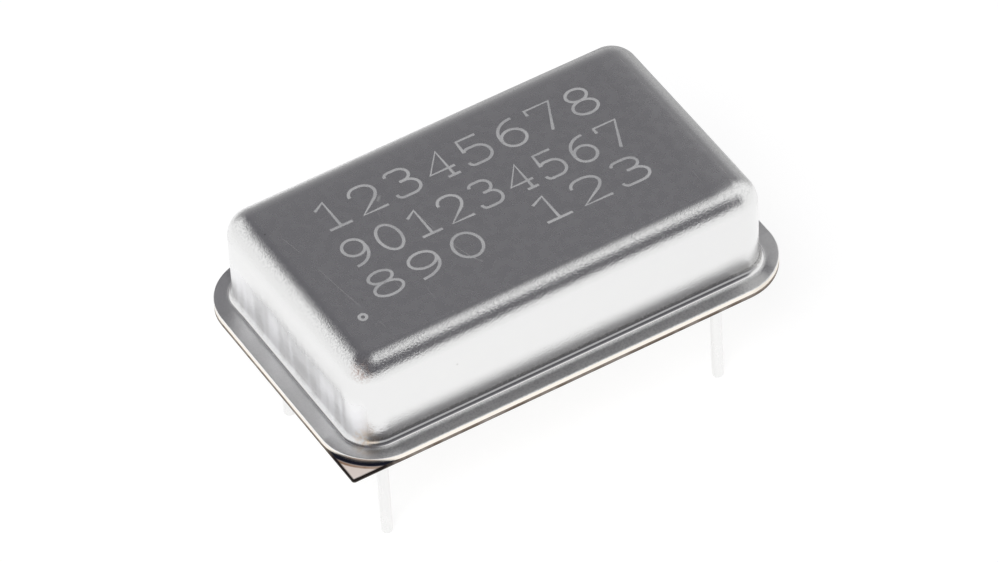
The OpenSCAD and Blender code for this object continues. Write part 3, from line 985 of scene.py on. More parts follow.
@dataclass(frozen=True)
class HeaderPlate(Finish):
    """Duller plate of the header, heat-tinted dark along the weld under the flange and warm on the bare
    corner. On that corner a painted shadow of the flange's edge lies along the weld, and painted dark
    reflections run along the corner's edges.
    """

    seam_low: Point = (0.3005, 0.304)
    seam_high: Point = (0.47, 0.52)
    seam_turn: Point = (0.37, 0.43)
    seam_share: float = 0.99
    seam_roughness: float = 0.15
    seam_colour: Colour = (0.36, 0.285, 0.225)
    seam_foot: Colour = (0.11, 0.085, 0.07)
    top_band: Band = (0.46, 0.48, 0.006)
    corner: Spot = (-9.85, -5.95, 0.47)
    corner_fade: Point = (1.1, 2.2)
    corner_roughness: float = 0.26
    corner_colour: Colour = (0.90, 0.80, 0.74)
    corner_metal: float = 0.35
    # Painted dark reflection on the bare corner's edges: the rim's side near the corner and a thin line along
    # the top's outer edges.
    dark_edge_low: Point = (0.31, 0.35)
    dark_edge_clean: float = 0.7
    dark_edge_colour: Colour = (0.03, 0.022, 0.02)
    weld_centre: Spot = (-7.8, -3.9, 0.47)
    weld_radius: float = 2.35
    # Heat tint and a painted shadow of the flange's edge, in a band along the flange's outline on the bare
    # corner.
    weld_shadow_band: Band = (-0.2, 0.2, 0.08)
    weld_shadow_colour: Colour = (0.035, 0.04, 0.07)
    rust_band: Band = (0.14, 0.32, 0.07)
    rust_colour: Colour = (0.36, 0.22, 0.14)
    half_size: Point = (10.15, 6.25)
    outline: Point = (0.03, 0.1)
    cloud_scale: float = 1.4
    ragged_levels: Point = (0.3, 0.6)
    ragged_share: Point = (0.75, 1.0)
    tarnish_levels: Point = (0.5, 0.75)
    tarnish_share: float = 0.3
    tarnish: Colour = (0.5, 0.42, 0.33)
    pit_spacing: float = 0.8
    pit_radius: float = 0.05
    pit_share: float = 0.6
    grain: float = 0.07
    clouding: float = 0.12
    depth: float = 0.002

    def paint(self, skin: Skin) -> None:
        """Writes the look into the material.

        Args:
            skin: The material.
        """
        parts = skin.split(skin.place)
        height = parts["Z"]
        grain = skin.grain(self.grain)
        pits = skin.pits(self.pit_spacing, self.pit_radius)
        cloud = skin.noise(skin.place, self.cloud_scale, detail=4.0)
        ragged = skin.between(cloud, *self.ragged_levels, *self.ragged_share)
        on_corner = skin.under(skin.gap(skin.place, self.corner), *self.corner_fade)
        on_plate = skin.band(height, *self.top_band)
        on_top = skin.product(on_corner, on_plate)
        past_weld = skin.less(skin.gap(skin.place, self.weld_centre), self.weld_radius)
        # Band along the flange's outline: heat tint and painted shadow of the flange's edge.
        burn_and_shadow = skin.band(past_weld, *self.weld_shadow_band)
        rusty = skin.product(skin.band(past_weld, *self.rust_band), on_top, ragged)
        on_side = skin.product(skin.between(height, *self.seam_low), skin.under(height, *self.seam_high))
        # Near the corner the lower part of the rim's side is left partly clear of the painted dark edge.
        clean = skin.product(on_corner, skin.between(height, *self.dark_edge_low, self.dark_edge_clean, 0.0))
        seam = skin.product(on_side, skin.greater(ragged, on_corner), skin.less(1.0, clean))
        burn = skin.mix(skin.under(height, *self.seam_turn), self.seam_colour, self.seam_foot)
        to_end, to_front = (skin.total(parts[axis], half) for axis, half in zip("XY", self.half_size))
        to_side = skin.math("MINIMUM", to_end, to_front)
        # Painted dark reflection along the bare corner's outer edges.
        outline = skin.product(skin.under(to_side, *self.outline), on_top, ragged)
        coats = (
            (skin.between(cloud, *self.tarnish_levels, 0.0, self.tarnish_share), self.tarnish),
            # Near the corner the rim's side takes the painted dark reflection colour instead of the seam's.
            (skin.product(seam, self.seam_share), skin.mix(on_corner, burn, self.dark_edge_colour)),
            (on_top, self.corner_colour),
            (rusty, self.rust_colour),
            (outline, self.dark_edge_colour),
            # Heat tint and painted shadow along the flange's edge on the bare corner.
            (skin.product(burn_and_shadow, on_plate), self.weld_shadow_colour),
            (skin.product(pits, self.pit_share), self.seam_colour),
        )
        dull = skin.product(on_top, skin.less(1.0, burn_and_shadow))
        skin.put(
            {
                "Base Color": skin.layers(self.colour, coats),
                "Metallic": skin.between(dull, 0.0, 1.0, 1.0, self.corner_metal),
            }
        )
        spread = skin.total(
            self.roughness,
            skin.product(seam, self.seam_roughness),
            skin.product(on_corner, self.corner_roughness),
        )
        skin.dull(spread, grain["Clouds"], self.clouding)
        skin.relief(skin.product(skin.less(grain["Height"], pits), self.depth))


@dataclass(frozen=True)
class DipTin(Finish):
    """Dipped tin on the pins, wavy and bright, over a smoother plated wire above the dip line."""

    dip_fade: Point = (-0.52, -0.37)
    run_stretch: Spot = (1.0, 1.0, 0.35)
    run_scale: float = 2.6
    run_reach: float = 0.3
    run_depth: float = 0.006
    wire_polish: float = 0.6
    wire_colour: Colour = (0.86, 0.84, 0.80)
    grain: float = 0.05
    clouding: float = 0.15
    depth: float = 0.0006

    def paint(self, skin: Skin) -> None:
        """Writes the look into the material.

        Args:
            skin: The material.
        """
        place = skin.millimetres(self.run_stretch)
        grain = skin.grain(self.grain, place)
        runs = skin.noise(place, self.run_scale, detail=1.0)
        edge = skin.total(skin.split(skin.place)["Z"], skin.product(runs, self.run_reach))
        bare = skin.between(edge, *self.dip_fade)
        skin.put({"Base Color": skin.mix(bare, self.colour, self.wire_colour)})
        spread = skin.between(bare, 0.0, 1.0, self.roughness, self.roughness * self.wire_polish)
        skin.dull(spread, grain["Clouds"], self.clouding)
        wet = skin.product(runs, skin.less(1.0, bare), self.run_depth)
        skin.relief(skin.total(wet, skin.product(grain["Height"], self.depth)))


@dataclass(frozen=True)
class Etching(Finish):
    """Frosty track of a marking laser: overlapping pulses in bright metal."""

    metallic: ClassVar[float] = 0.0
    pulse: float = 0.07
    pulse_levels: Point = (0.1, 0.7)
    jitter: float = 0.6
    grain: float = 0.12
    share: float = 0.35
    polish: float = 0.85
    depth: float = 0.002
    deep_colour: Colour = (0.30, 0.30, 0.31)

    def paint(self, skin: Skin) -> None:
        """Writes the look into the material.

        Args:
            skin: The material.
        """
        inputs = {"Vector": skin.place, "Scale": 1.0 / self.pulse, "Randomness": self.jitter}
        cells = skin.add("TexVoronoi", inputs).outputs["Distance"]
        pulses = skin.between(cells, *self.pulse_levels)
        share = skin.product(skin.total(pulses, skin.grain(self.grain)["Clouds"]), self.share)
        skin.put(
            {
                "Base Color": skin.mix(share, self.colour, self.deep_colour),
                "Roughness": skin.between(pulses, 0.0, 1.0, self.roughness * self.polish, self.roughness),
            }
        )
        skin.relief(skin.product(pulses, self.depth))


@dataclass(frozen=True)
class Circuit(Finish):
    """Oxide over aluminium tracks on the chip: blocks of cells with brighter lines between."""

    metallic: ClassVar[float] = 0.0
    cell: float = 0.11
    cell_share: float = 0.45
    line_colour: Colour = (0.55, 0.52, 0.48)
    tint: Colour = (0.16, 0.12, 0.22)
    coat: float = 0.6
    grain: float = 0.03
    grain_levels: Point = (0.2, 0.8)
    polish: float = 1.4
    depth: float = 0.001

    def bricks(
        self, skin: Skin, line: float, length: float, height: float, **pattern: float
    ) -> bpy.types.bpy_prop_collection:
        """Pattern of cells in rows.

        Args:
            skin: The material.
            line: Width of the lines, as a share of the cell's size.
            length: Length of a cell, as such a share.
            height: Height of a row, as such a share.
            pattern: How the rows are laid.

        Returns:
            The pattern's outputs, by name.
        """
        inputs = {
            "Vector": skin.place,
            "Color1": self.colour,
            "Color2": self.tint,
            "Mortar": self.line_colour,
            "Scale": 1.0,
            "Mortar Size": self.cell * line,
            "Brick Width": self.cell * length,
            "Row Height": self.cell * height,
        }
        return skin.add("TexBrick", inputs, **pattern).outputs

    def paint(self, skin: Skin) -> None:
        """Writes the look into the material.

        Args:
            skin: The material.
        """
        uneven = {"offset": 0.37, "squash": 0.8, "squash_frequency": 3}
        blocks = self.bricks(skin, line=0.09, length=1.7, height=1.0, **uneven)
        cells = self.bricks(skin, line=0.03, length=0.4, height=0.2, offset=0.5)
        grain = skin.grain(self.grain)["Height"]
        high = self.roughness * self.polish
        skin.put(
            {
                "Base Color": skin.mix(self.cell_share, blocks["Color"], cells["Color"]),
                "Roughness": skin.between(grain, *self.grain_levels, self.roughness, high),
                "Coat Weight": self.coat,
            }
        )
        skin.relief(skin.product(blocks["Fac"], self.depth))


@dataclass(frozen=True)
class ScreenPrint(Finish):
    """Fired paste that keeps the weave of the printing screen."""

    mesh: float = 0.08
    weave_share: float = 0.35
    weave_depth: float = 0.0015
    cloud_share: float = 0.4
    grain: float = 0.04
    grain_levels: Point = (0.3, 0.7)
    grain_depth: float = 0.001
    polish: float = 0.8
    body_colour: Colour = (0.6, 0.56, 0.5)

    def paint(self, skin: Skin) -> None:
        """Writes the look into the material.

        Args:
            skin: The material.
        """
        turned = skin.add("Mapping", {"Vector": skin.place, "Rotation": (0.0, 0.0, math.pi / 4)}).outputs[0]
        parts = skin.split(turned)
        waves = [skin.math("SINE", skin.product(parts[axis], math.tau / self.mesh)) for axis in "XY"]
        weave = skin.math("MULTIPLY_ADD", skin.total(*waves), 0.25, 0.5)
        grain = skin.grain(self.grain)
        clouds = skin.product(grain["Clouds"], self.cloud_share)
        share = skin.total(skin.product(weave, self.weave_share), clouds)
        skin.put({"Base Color": skin.mix(share, self.colour, self.body_colour)})
        low = self.roughness * self.polish
        skin.put({"Roughness": skin.between(grain["Height"], *self.grain_levels, low, self.roughness)})
        threads = skin.product(weave, self.weave_depth)
        skin.relief(skin.total(threads, skin.product(grain["Height"], self.grain_depth)))


# ---- The oscillator's pieces ----


@dataclass
class Can:
    """Drawn can with its flange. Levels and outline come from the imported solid."""

    flange_end: float = 0.9
    flange_side: float = 0.8
    corner_radius: float = 1.2
    top_radius: float = 1.1
    foot_round: float = 0.29
    flange_radius: float = 2.35
    flange_sheet: float = 0.23
    flange_lift: float = 0.02
    sheet: float = 0.25
    rolled_edge: float = 0.04
    burred_edge: float = 0.008
    edge_steps: int = 4
    mark_room: float = 0.005
    foot_lip: float = 0.31
    inner_foot: float = 0.6

    def __post_init__(self) -> None:
        """Reads the can's box from the frame."""
        self.low, self.high, _ = box_of("can")
        self.half_l = self.high.x - self.flange_end
        self.half_w = self.high.y - self.flange_side
        self.top = self.high.z - self.mark_room
        self.flange_top = self.low.z + self.flange_sheet
        self.flange_rim = self.flange_top + self.flange_lift

    def shell(self, top: float, foot: float, wall: float, rounds: dict[int, float]) -> Mesh:
        """One skin of the can's body, open at the foot.

        Args:
            top: Height of its top.
            foot: Height of its foot.
            wall: Distance of its wall from the upright axis of the corner.
            rounds: Radius of the top's edge and of the foot, by their places in the section.

        Returns:
            The skin with its flat top.
        """
        centre = (self.half_l - self.corner_radius, self.half_w - self.corner_radius)
        path = [(0.0, top), (wall, top), (wall, foot), (self.corner_radius + self.foot_lip, foot)]
        bm = swept_corner(path, rounds, centre)
        bmesh.ops.holes_fill(bm, edges=edges_at(bm, top), sides=0)
        return bm

    def build(self, finish: bpy.types.Material) -> None:
        """Makes the can.

        Args:
            finish: Its material.
        """
        inside = self.corner_radius - self.sheet
        outer_rounds = {1: self.top_radius, 2: self.foot_round}
        inner_rounds = {1: self.top_radius - self.sheet, 2: self.inner_foot}
        outer = self.shell(self.top, self.flange_top, self.corner_radius, outer_rounds)
        inner = self.shell(self.top - self.sheet, self.low.z, inside, inner_rounds)
        size = (self.high.x, self.high.y)
        edges = (self.rolled_edge, self.burred_edge)
        rim = plate_side(size, [self.flange_radius] * 4, self.low.z, self.flange_rim, edges, self.edge_steps)
        bm = joined((joined((outer, inner)), rim))
        fill_at(bm, self.flange_top, self.flange_rim)
        fill_at(bm, self.low.z)
        hand_over(bm, "drawn_can", finish, "can_metal", "can")


@dataclass
class Header:
    """Header plate with its square corner, the plug that the can slips over, and the holes for the pins."""

    can: Can
    rim: float = 0.17
    corner_radius: float = 2.35
    key_radius: float = 0.12
    plug_gap: float = 0.12
    weld_notch: float = 0.05
    burred_edge: float = 0.005

    def build(self, finish: bpy.types.Material, holes: dict[Point, float]) -> None:
        """Makes the header.

        Args:
            finish: Its material.
            holes: Radius of each hole, by its place.
        """
        low, high, _ = box_of("header")
        edge = low.z + self.rim
        radii = [self.key_radius] + [self.corner_radius] * 3
        rim = plate_side((high.x, high.y), radii, low.z, edge, (self.weld_notch, self.burred_edge))
        inside = self.can.sheet + self.plug_gap
        plug_size = (self.can.half_l - inside, self.can.half_w - inside)
        plug = plate_side(plug_size, [self.can.corner_radius - inside] * 4, edge, high.z)
        walls = [
            turned_solid([(radius, low.z), (radius, high.z)], place, closed=False)
            for place, radius in holes.items()
        ]
        bm = joined([rim, plug] + walls)
        for level in (low.z, edge, high.z):
            fill_at(bm, level)
        hand_over(bm, "header_plate", finish, "header_metal", "header")


@dataclass
class Pin:
    """Plated wire, dipped in tin over most of its free length."""

    name: str
    tin: float = 0.008
    tin_top: float = -0.9
    bare_from: float = -0.35
    end_radius: float = 0.15

    def build(self, finish: bpy.types.Material) -> None:
        """Makes the pin.

        Args:
            finish: Its material.
        """
        low, high, place = box_of(self.name)
        thick = WIRE_RADIUS + self.tin
        path = [
            (0.0, low.z),
            (thick, low.z),
            (thick, self.tin_top),
            (WIRE_RADIUS, self.bare_from),
            (WIRE_RADIUS, high.z),
            (0.0, high.z),
        ]
        bm = turned_solid(path, place, {1: self.end_radius, 4: self.end_radius}, closed=False)
        hand_over(bm, f"tinned_{self.name}", finish, "pin_metal", self.name)


@dataclass
class Seal:
    """Glass seal round a pin, with its stand-off bead below the header and its land above."""

    name: str
    bead: float = 0.8
    bead_edge: float = 0.24

    def build(self, finish: bpy.types.Material) -> None:
        """Makes the seal.

        Args:
            finish: Its material.
        """
        low, high, place = box_of(self.name)
        header_low, header_high, _ = box_of("header")
        path = [
            (WIRE_RADIUS, low.z),
            (self.bead, low.z),
            (self.bead, header_low.z),
            (SEAL_RADIUS, header_low.z),
            (SEAL_RADIUS, header_high.z),
            (LAND_RADIUS, header_high.z),
            (LAND_RADIUS, high.z),
            (WIRE_RADIUS, high.z),
        ]
        bm = turned_solid(path, place, {1: self.bead_edge})
        hand_over(bm, f"glass_{self.name}", finish, "seal_glass", self.name)


@dataclass
class GroundBraze:
    """Braze of the ground pin: a fillet below the header and the land above it."""

    foot: float = 0.36
    height: float = 0.18
    bend: Point = (0.3, 0.32)
    bend_round: float = 0.5

    def build(self, finish: bpy.types.Material) -> None:
        """Makes the braze.

        Args:
            finish: Its material.
        """
        _, high, place = box_of("ground_braze")
        header_low, header_high, _ = box_of("header")
        fillet_path = [
            (WIRE_RADIUS, header_low.z),
            (WIRE_RADIUS, header_low.z - self.height),
            (WIRE_RADIUS + self.foot * self.bend[0], header_low.z - self.height * self.bend[1]),
            (WIRE_RADIUS + self.foot, header_low.z),
        ]
        land_path = [
            (WIRE_RADIUS, header_high.z),
            (LAND_RADIUS, header_high.z),
            (LAND_RADIUS, high.z),
            (WIRE_RADIUS, high.z),
        ]
        fillet = turned_solid(fillet_path, place, {2: self.height * self.bend_round})
        bm = joined((fillet, turned_solid(land_path, place)))
        hand_over(bm, "ground_joint", finish, "braze_metal", "ground_braze")


@dataclass(frozen=True)
class Stroke:
    """Pen stroke of a digit in a cell 1 wide and 1.5 high: its points, each with its radius of rounding."""

    points: tuple[Spot, ...]

    def wire(self) -> Mesh:
        """Stroke as a line of edges, with its points at height zero."""
        path = [(x, y, 0.0) for x, y, _ in self.points]
        rounds = {index: point[2] for index, point in enumerate(self.points) if point[2]}
        return line_through(path, rounds, CURL_STEPS)


@dataclass(frozen=True)
class Oval:
    """Closed oval of a digit, by its middle and half sizes."""

    middle: Point
    half: Point

    def wire(self) -> Mesh:
        """Oval as a ring of edges at height zero."""
        bm = bmesh.new()
        bmesh.ops.create_circle(bm, radius=1.0, segments=OVAL_STEPS)
        bmesh.ops.scale(bm, vec=(*self.half, 1.0), verts=bm.verts)
        bmesh.ops.translate(bm, vec=(*self.middle, 0.0), verts=bm.verts)
        return bm


CELL_HEIGHT = 1.5
ZERO = Oval((0.5, 0.75), (0.47, 0.75))
DIGITS: dict[str, tuple[Stroke | Oval, ...]] = {
    "0": (ZERO,),
    "1": (Stroke(((0.1, 1.2, 0), (0.55, 1.5, 0), (0.55, 0.02, 0))), Stroke(((0.1, 0, 0), (1, 0, 0)))),
    "2": (Stroke(((0, 1.1, 0), (0, 1.5, 0.38), (0.95, 1.5, 0.45), (0.95, 0.8, 0.3), (0, 0, 0), (1, 0, 0))),),
    "3": (
        Stroke(((0.05, 1.3, 0), (0.1, 1.5, 0.15), (0.9, 1.5, 0.34), (0.9, 0.82, 0.33), (0.4, 0.82, 0))),
        Stroke(((0.42, 0.81, 0), (1, 0.81, 0.4), (1, 0, 0.4), (0, 0, 0.2), (0, 0.25, 0))),
    ),
    "4": (
        Stroke(((0.75, 0.02, 0), (0.75, 1.5, 0), (0, 0.45, 0), (1, 0.45, 0))),
        Stroke(((0.5, 0, 0), (1, 0, 0))),
    ),
    "5": (
        Stroke(((0.9, 1.5, 0), (0.13, 1.5, 0), (0.1, 0.8, 0))),
        Stroke(
            ((0.12, 0.82, 0), (0.22, 0.95, 0.1), (1, 0.95, 0.45), (1, 0, 0.44), (0, 0, 0.2), (0, 0.22, 0))
        ),
    ),
    "6": (Oval((0.52, 0.47), (0.46, 0.47)), Stroke(((0.9, 1.48, 0), (0.06, 1.4, 0.7), (0.06, 0.45, 0)))),
    "7": (Stroke(((0, 1.2, 0), (0, 1.5, 0), (1, 1.5, 0), (0.4, 0, 0))),),
    "8": (Oval((0.5, 1.15), (0.4, 0.35)), Oval((0.5, 0.4), (0.48, 0.4))),
}


@dataclass(frozen=True)
class Row:
    """One row of the marking, spread evenly between two ends."""

    text: str
    start: float
    end: float
    base: float
    height: float


@dataclass
class Marking:
    """Counting digits and the ring at pin 1, drawn by a laser on the can's top."""

    pen: float = 0.13
    pen_steps: int = 2
    relief: float = 0.004
    dot_place: Point = (-7.41, -2.83)
    dot_size: float = 0.3
    fill: float = 0.68
    rows: tuple[Row, ...] = (
        Row("12345678", -6.2, 6.25, 1.9, 1.5),
        Row("901234567", -6.3, 6.25, -0.4, 1.46),
        Row("890 123", -6.4, 5.9, -2.4, 1.38),
    )

    def placed(self, stroke: Stroke | Oval, place: Point, size: Point, turned: bool = False) -> Mesh:
        """One stroke at its place.

        Args:
            stroke: The stroke.
            place: Lower left corner of its cell.
            size: Width of the cell and height of the digit.
            turned: Whether the digit is turned upside down.

        Returns:
            The stroke as a wire.
        """
        wire = stroke.wire()
        if turned:
            middle = (0.5, CELL_HEIGHT / 2, 0.0)
            bmesh.ops.rotate(wire, cent=middle, matrix=Matrix.Rotation(math.pi, 4, "Z"), verts=wire.verts)
        bmesh.ops.scale(wire, vec=(size[0], size[1] / CELL_HEIGHT, 1.0), verts=wire.verts)
        bmesh.ops.translate(wire, vec=(*place, 0.0), verts=wire.verts)
        return wire

    def wires(self) -> Mesh:
        """All strokes of the marking.

        Returns:
            The strokes as wires, flat at height zero.
        """
        strokes = []
        for row in self.rows:
            width = (row.end - row.start) / (len(row.text) - 1 + self.fill)
            for index, digit in enumerate(row.text):
                place = (row.start + index * width, row.base)
                turned = digit == "9"
                for stroke in DIGITS.get("6" if turned else digit, ()):
                    strokes.append(self.placed(stroke, place, (width * self.fill, row.height), turned))
        dot = (self.dot_place[0] - self.dot_size / 2, self.dot_place[1] - self.dot_size / 2)
        strokes.append(self.placed(ZERO, dot, (self.dot_size, self.dot_size)))
        return joined(strokes)

    def build(self, finish: bpy.types.Material, top: float) -> None:
        """Makes the marking.

        Args:
            finish: Its material.
            top: Height of the can's top.
        """
        mesh = bpy.data.meshes.new("strokes")
        bm = self.wires()
        bm.to_mesh(mesh)
        bm.clear()
        carrier = set_up("strokes", mesh)
        only = {"selected_objects": [carrier], "selected_editable_objects": [carrier]}
        with bpy.context.temp_override(object=carrier, active_object=carrier, **only):
            bpy.context.view_layer.objects.active = carrier
            carrier.select_set(True)
            bpy.ops.object.convert(target="CURVE")
        curve = carrier.data
        curve.bevel_depth = self.pen / 2
        curve.bevel_resolution = self.pen_steps
        curve.use_fill_caps = True
        flat = bpy.data.meshes.new_from_object(carrier.evaluated_get(bpy.context.evaluated_depsgraph_get()))
        bm.from_mesh(flat)
        bpy.data.meshes.remove(flat)
        bpy.data.objects.remove(carrier)
        bmesh.ops.scale(bm, vec=(1.0, 1.0, 2 * self.relief / self.pen), verts=bm.verts)
        bmesh.ops.translate(bm, vec=(0.0, 0.0, top - self.relief), verts=bm.verts)
        hand_over(bm, "marking", finish, "can_metal")


# ---- Stage ----


def away(azimuth: float, elevation: float) -> Vector:
    """Direction from the oscillator, by its azimuth and elevation in degrees."""
    turn, lift = math.radians(azimuth), math.radians(elevation)
    return Vector((math.sin(turn) * math.cos(lift), -math.cos(turn) * math.cos(lift), math.sin(lift)))


@dataclass(frozen=True)
class Softbox:
    """Flat lamp that faces the oscillator. It lights the pieces and is left out of their mirror images."""

    name: str
    azimuth: float
    elevation: float
    size: float
    radiance: float
    distance: float = 0.4

    def build(self) -> None:
        """Hangs the lamp."""
        lamp = bpy.data.lights.new(self.name, "AREA")
        lamp.shape = "SQUARE"
        lamp.size = self.size
        lamp.energy = self.radiance * math.pi * self.size**2
        stand = set_up(self.name, lamp)
        back = away(self.azimuth, self.elevation)
        stand.location = back * self.distance
        stand.rotation_euler = back.to_track_quat("Z", "Y").to_euler()
        stand.visible_camera = False
        stand.visible_glossy = False


@dataclass(frozen=True)
class Tent:
    """White tent with a dark roof and a light panel let into it, as the pieces mirror it.

    Each wall is white up to a height and fades into the roof. Heights are sines of the elevation, and the
    panel is measured on a flat roof at height one.
    """

    roof: Colour = (0.161, 0.158, 0.171)
    front_axis: Spot = (0.0, -1.0, 0.0)
    front_edge: Point = (0.45, 0.8)
    front_fade: Point = (0.11, 0.38)
    side_fade: Point = (0.54, 0.71)
    far_axis: Spot = (0.47, 0.88, 0.0)
    far_edge: Point = (0.66, 0.90)
    far_fade: Point = (-0.85, 0.79)
    far_white: float = 0.72
    right_edge: Point = (0.1, 0.5)
    right_lift: float = 0.1
    panel: float = 0.97
    panel_low: float = 0.05
    panel_front: Point = (-0.80, -0.35)
    panel_back: Point = (-0.72, 0.0)
    panel_left: Point = (-0.45, 0.25)
    panel_right: Point = (1.1, 1.5)

    def wall(self, nodes: Nodes, height: Socket, fade: Point, shade: float = 1.0) -> Socket:
        """Colour of a wall that fades into the roof.

        Args:
            nodes: Writer of the world's tree.
            height: Height on the wall.
            fade: Heights where the fade starts and ends.
            shade: Shade of the wall below it.

        Returns:
            The colour's socket.
        """
        return nodes.mix(nodes.between(height, *fade), (shade,) * 3, self.roof)

    def build(self) -> None:
        """Sets the world, by the direction a ray takes."""
        world = bpy.data.worlds.new("tent")
        world.use_nodes = True
        bpy.context.scene.world = world
        nodes = Nodes(world.node_tree)
        direction = nodes.add("TexCoord").outputs["Generated"]
        parts = nodes.split(direction)
        height = parts["Z"]
        compass = nodes.vector("NORMALIZE", nodes.vector("MULTIPLY", direction, (1.0, 1.0, 0.0)))
        far, front = (
            nodes.between(nodes.vector("DOT_PRODUCT", compass, axis, output="Value"), *edge)
            for axis, edge in ((self.far_axis, self.far_edge), (self.front_axis, self.front_edge))
        )
        lowered = nodes.less(height, nodes.between(parts["X"], *self.right_edge, 0.0, self.right_lift))
        front_wall = self.wall(nodes, height, self.front_fade)
        side_wall = self.wall(nodes, lowered, self.side_fade)
        far_wall = self.wall(nodes, height, self.far_fade, self.far_white)
        walls = nodes.mix(far, nodes.mix(front, side_wall, front_wall), far_wall)
        above = nodes.greater(height, self.panel_low)
        across, along = (nodes.math("DIVIDE", parts[axis], above) for axis in "XY")
        panel = nodes.product(
            nodes.between(along, *self.panel_front),
            nodes.between(across, *self.panel_left),
            nodes.under(nodes.less(along, across), *self.panel_back),
            nodes.under(across, *self.panel_right),
        )
        lit = nodes.mix(panel, walls, (self.panel,) * 3)
        seen = nodes.add("LightPath").outputs["Is Camera Ray"]
        nodes.feed(nodes.mix(seen, lit, WHITE), world.node_tree.nodes["Background"].inputs["Color"])


@dataclass
class Studio:
    """Floor, tent, lamp and camera."""

    floor_level: float = -6.0
    floor_half: float = 45.0
    floor_shade: float = 0.3
    floor_lift: float = 0.78
    mirrored_lift: float = 0.82
    # Painted shadow of the oscillator on the floor, seen only in the pieces' mirror images: where it starts
    # and ends, and how bright it leaves the floor.
    dim_from: Point = (3.5, 13.0)
    far_share: float = 0.35
    camera_azimuth: float = -28.507
    camera_elevation: float = 45.034
    camera_roll: float = -3.703
    camera_distance: float = 290.308
    aim: Spot = (0.0, 0.0, 0.3)
    lens: float = 268.27
    sensor: float = 36.0
    shift: Point = (0.00231, 0.001)
    clip: Point = (0.01, 10.0)

    def floor(self) -> None:
        """Pale floor at the pins' tips, which keeps the object's shadow and is clear from below.

        What the camera sees of it and what the pieces mirror of it are lifted apart, and the mirrored part is
        dimmed behind the oscillator as a painted shadow.
        """
        skin = Skin("pale floor")
        path = skin.add("LightPath").outputs
        parts = skin.split(skin.place)
        mirrored = skin.greater(path["Is Glossy Ray"], path["Is Transmission Ray"])
        behind = skin.math("MINIMUM", parts["X"], parts["Y"])
        # Painted shadow behind the oscillator, in what the pieces mirror.
        dimmed = skin.between(behind, *self.dim_from, 1.0, self.far_share)
        shown = skin.product(path["Is Camera Ray"], self.floor_lift)
        skin.put(
            {
                "Base Color": (self.floor_shade,) * 3,
                "Roughness": 1.0,
                "Specular IOR Level": 0.0,
                "Emission Color": WHITE,
                "Emission Strength": skin.greater(shown, skin.product(mirrored, dimmed, self.mirrored_lift)),
                "Alpha": skin.less(1.0, skin.add("NewGeometry").outputs["Backfacing"]),
            }
        )
        bm = bmesh.new()
        bmesh.ops.create_grid(bm, x_segments=2, y_segments=2, size=self.floor_half * MM)
        bmesh.ops.translate(bm, vec=(0.0, 0.0, self.floor_level * MM), verts=bm.verts)
        mesh = bpy.data.meshes.new("floor")
        bm.to_mesh(mesh)
        bm.free()
        mesh.materials.append(skin.material)
        set_up("floor", mesh)

    def camera(self) -> None:
        """Camera at the catalogue view."""
        back = away(self.camera_azimuth, self.camera_elevation)
        roll = math.radians(self.camera_roll)
        right = (-back).cross(Vector((0.0, 0.0, 1.0))).normalized()
        up = right.cross(-back)
        rolled_right = right * math.cos(roll) + up * math.sin(roll)
        rolled_up = up * math.cos(roll) - right * math.sin(roll)
        data = bpy.data.cameras.new("camera")
        data.lens = self.lens
        data.sensor_width = self.sensor
        data.shift_x, data.shift_y = self.shift
        data.clip_start, data.clip_end = self.clip
        stand = set_up("camera", data)
        turned = Matrix((rolled_right, rolled_up, back)).transposed().to_4x4()
        place = (back * self.camera_distance + Vector(self.aim)) * MM
        stand.matrix_world = Matrix.Translation(place) @ turned
        bpy.context.scene.camera = stand

    def build(self) -> None:
        """Sets up the whole studio."""
        self.camera()
        self.floor()
        Tent().build()
        Softbox("key lamp", azimuth=-45.0, elevation=52.0, size=0.2, radiance=7.0).build()
        bpy.context.scene.view_settings.view_transform = "Standard"


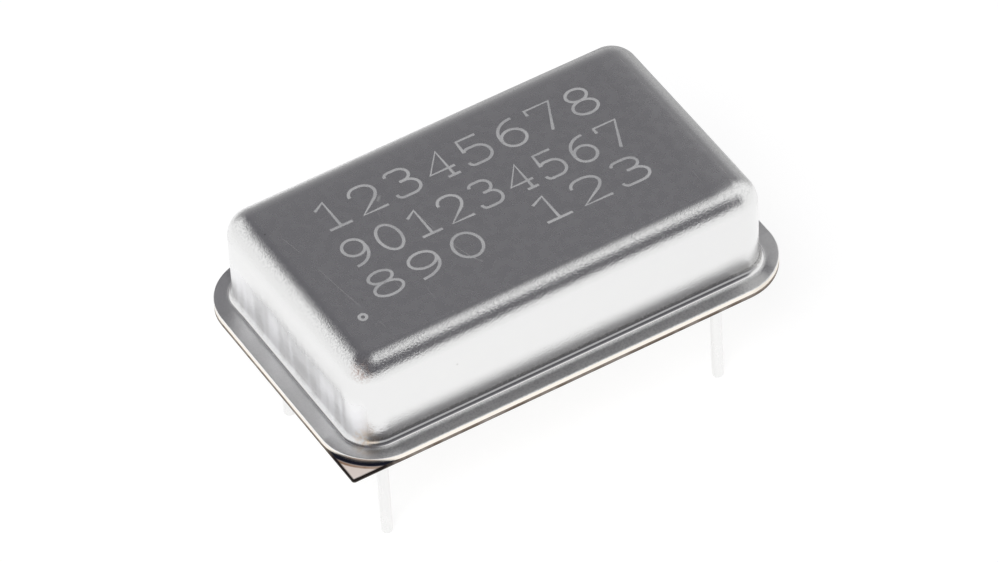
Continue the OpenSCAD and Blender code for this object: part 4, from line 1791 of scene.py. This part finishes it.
def finishes(can: Can) -> dict[str, Finish]:
    """Finish for each material slot of the record, and for the marking.

    Args:
        can: The can, whose levels its plate follows.

    Returns:
        The finishes by slot.
    """
    can_levels = (can.top, can.flange_top, can.top_radius)
    silver = (0.82, 0.81, 0.78)
    gold_shade = (0.7, 0.5, 0.25)
    clay, clay_speckle = (0.60, 0.47, 0.33), (0.52, 0.40, 0.27)
    return {
        "can_metal": CanPlate("can plate", (0.808, 0.808, 0.805), 0.16, *can_levels),
        "header_metal": HeaderPlate("header plate", (0.80, 0.78, 0.74), 0.34),
        "pin_metal": DipTin("dipped tin", (0.85, 0.85, 0.845), 0.3),
        "seal_glass": Earth("seal glass", (0.055, 0.085, 0.085), 0.1, (0.09, 0.13, 0.12), 0.06, 0.002, 0.25),
        "braze_metal": Metal("braze", (0.76, 0.71, 0.62), 0.3, 0.06, 0.001, wave=0.01),
        "alumina": Earth("alumina", (0.86, 0.85, 0.82), 0.55, (0.79, 0.78, 0.74), 0.035, 0.0015),
        "printed_conductor": ScreenPrint("fired conductor", (0.78, 0.75, 0.68), 0.4),
        "solder": Metal("solder", (0.72, 0.73, 0.75), 0.28, 0.08, 0.0012, wave=0.012, tarnish_share=0.25),
        "quartz": Earth("quartz", (0.90, 0.94, 0.95), 0.16, (0.84, 0.90, 0.92), 0.02, 0.0004, 0.9, 1.54),
        "electrode_silver": Metal("silver film", silver, 0.22, 0.03, 0.0003, tarnish_share=0.3),
        "clip_strip": Metal("clip strip", (0.78, 0.70, 0.50), 0.26, 0.05, 0.0006, Streak.ALONG_Y),
        "silver_adhesive": Earth("silver glue", (0.50, 0.50, 0.51), 0.6, (0.68, 0.68, 0.69), 0.03, 0.004),
        "silicon": Circuit("chip circuit", (0.10, 0.12, 0.20), 0.16),
        "chip_adhesive": Earth("chip glue", (0.54, 0.50, 0.40), 0.5, (0.66, 0.62, 0.52), 0.03, 0.003),
        "bond_gold": Metal("bond gold", (0.95, 0.74, 0.32), 0.2, 0.02, 0.0002, tarnish=gold_shade),
        "capacitor_ceramic": Earth("capacitor ceramic", clay, 0.4, clay_speckle, 0.03, 0.001),
        "capacitor_plating": Metal("capacitor plating", (0.80, 0.80, 0.80), 0.36, 0.04, 0.0015),
        "etching": Etching("laser marking", (0.50, 0.50, 0.505), 0.7),
    }


def dress(materials: Materials, replaced: set[str]) -> None:
    """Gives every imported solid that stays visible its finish.

    Args:
        materials: Materials by slot.
        replaced: Nodes that new pieces stand for.
    """
    for row in frame["record"]["subparts"]:
        name = row["node"]
        if name in replaced:
            continue
        for place in frame["nodes"][name].material_slots:
            place.material = materials[row["material_slot"]]
        LOG.info("%s: %s", name, row["material_slot"])


def main() -> None:
    """Builds the oscillator's looks and its studio."""
    logging.basicConfig(level=logging.INFO, format="%(name)s %(message)s")
    Studio().build()
    can = Can()
    effects = Effects()
    materials = {slot: finish.build(effects) for slot, finish in finishes(can).items()}
    can.build(materials["can_metal"])
    pins = ("pin_1", "pin_7", "pin_8", "pin_14")
    seals = ("seal_1", "seal_8", "seal_14")
    for name in pins:
        Pin(name).build(materials["pin_metal"])
    holes = {box_of(name.replace("seal", "pin"))[2]: SEAL_RADIUS for name in seals}
    holes[box_of("pin_7")[2]] = WIRE_RADIUS
    Header(can).build(materials["header_metal"], holes)
    for name in seals:
        Seal(name).build(materials["seal_glass"])
    GroundBraze().build(materials["braze_metal"])
    Marking().build(materials["etching"], can.high.z)
    dress(materials, {"can", "header", "ground_braze", *pins, *seals})


if __name__ == "__main__":
    main()
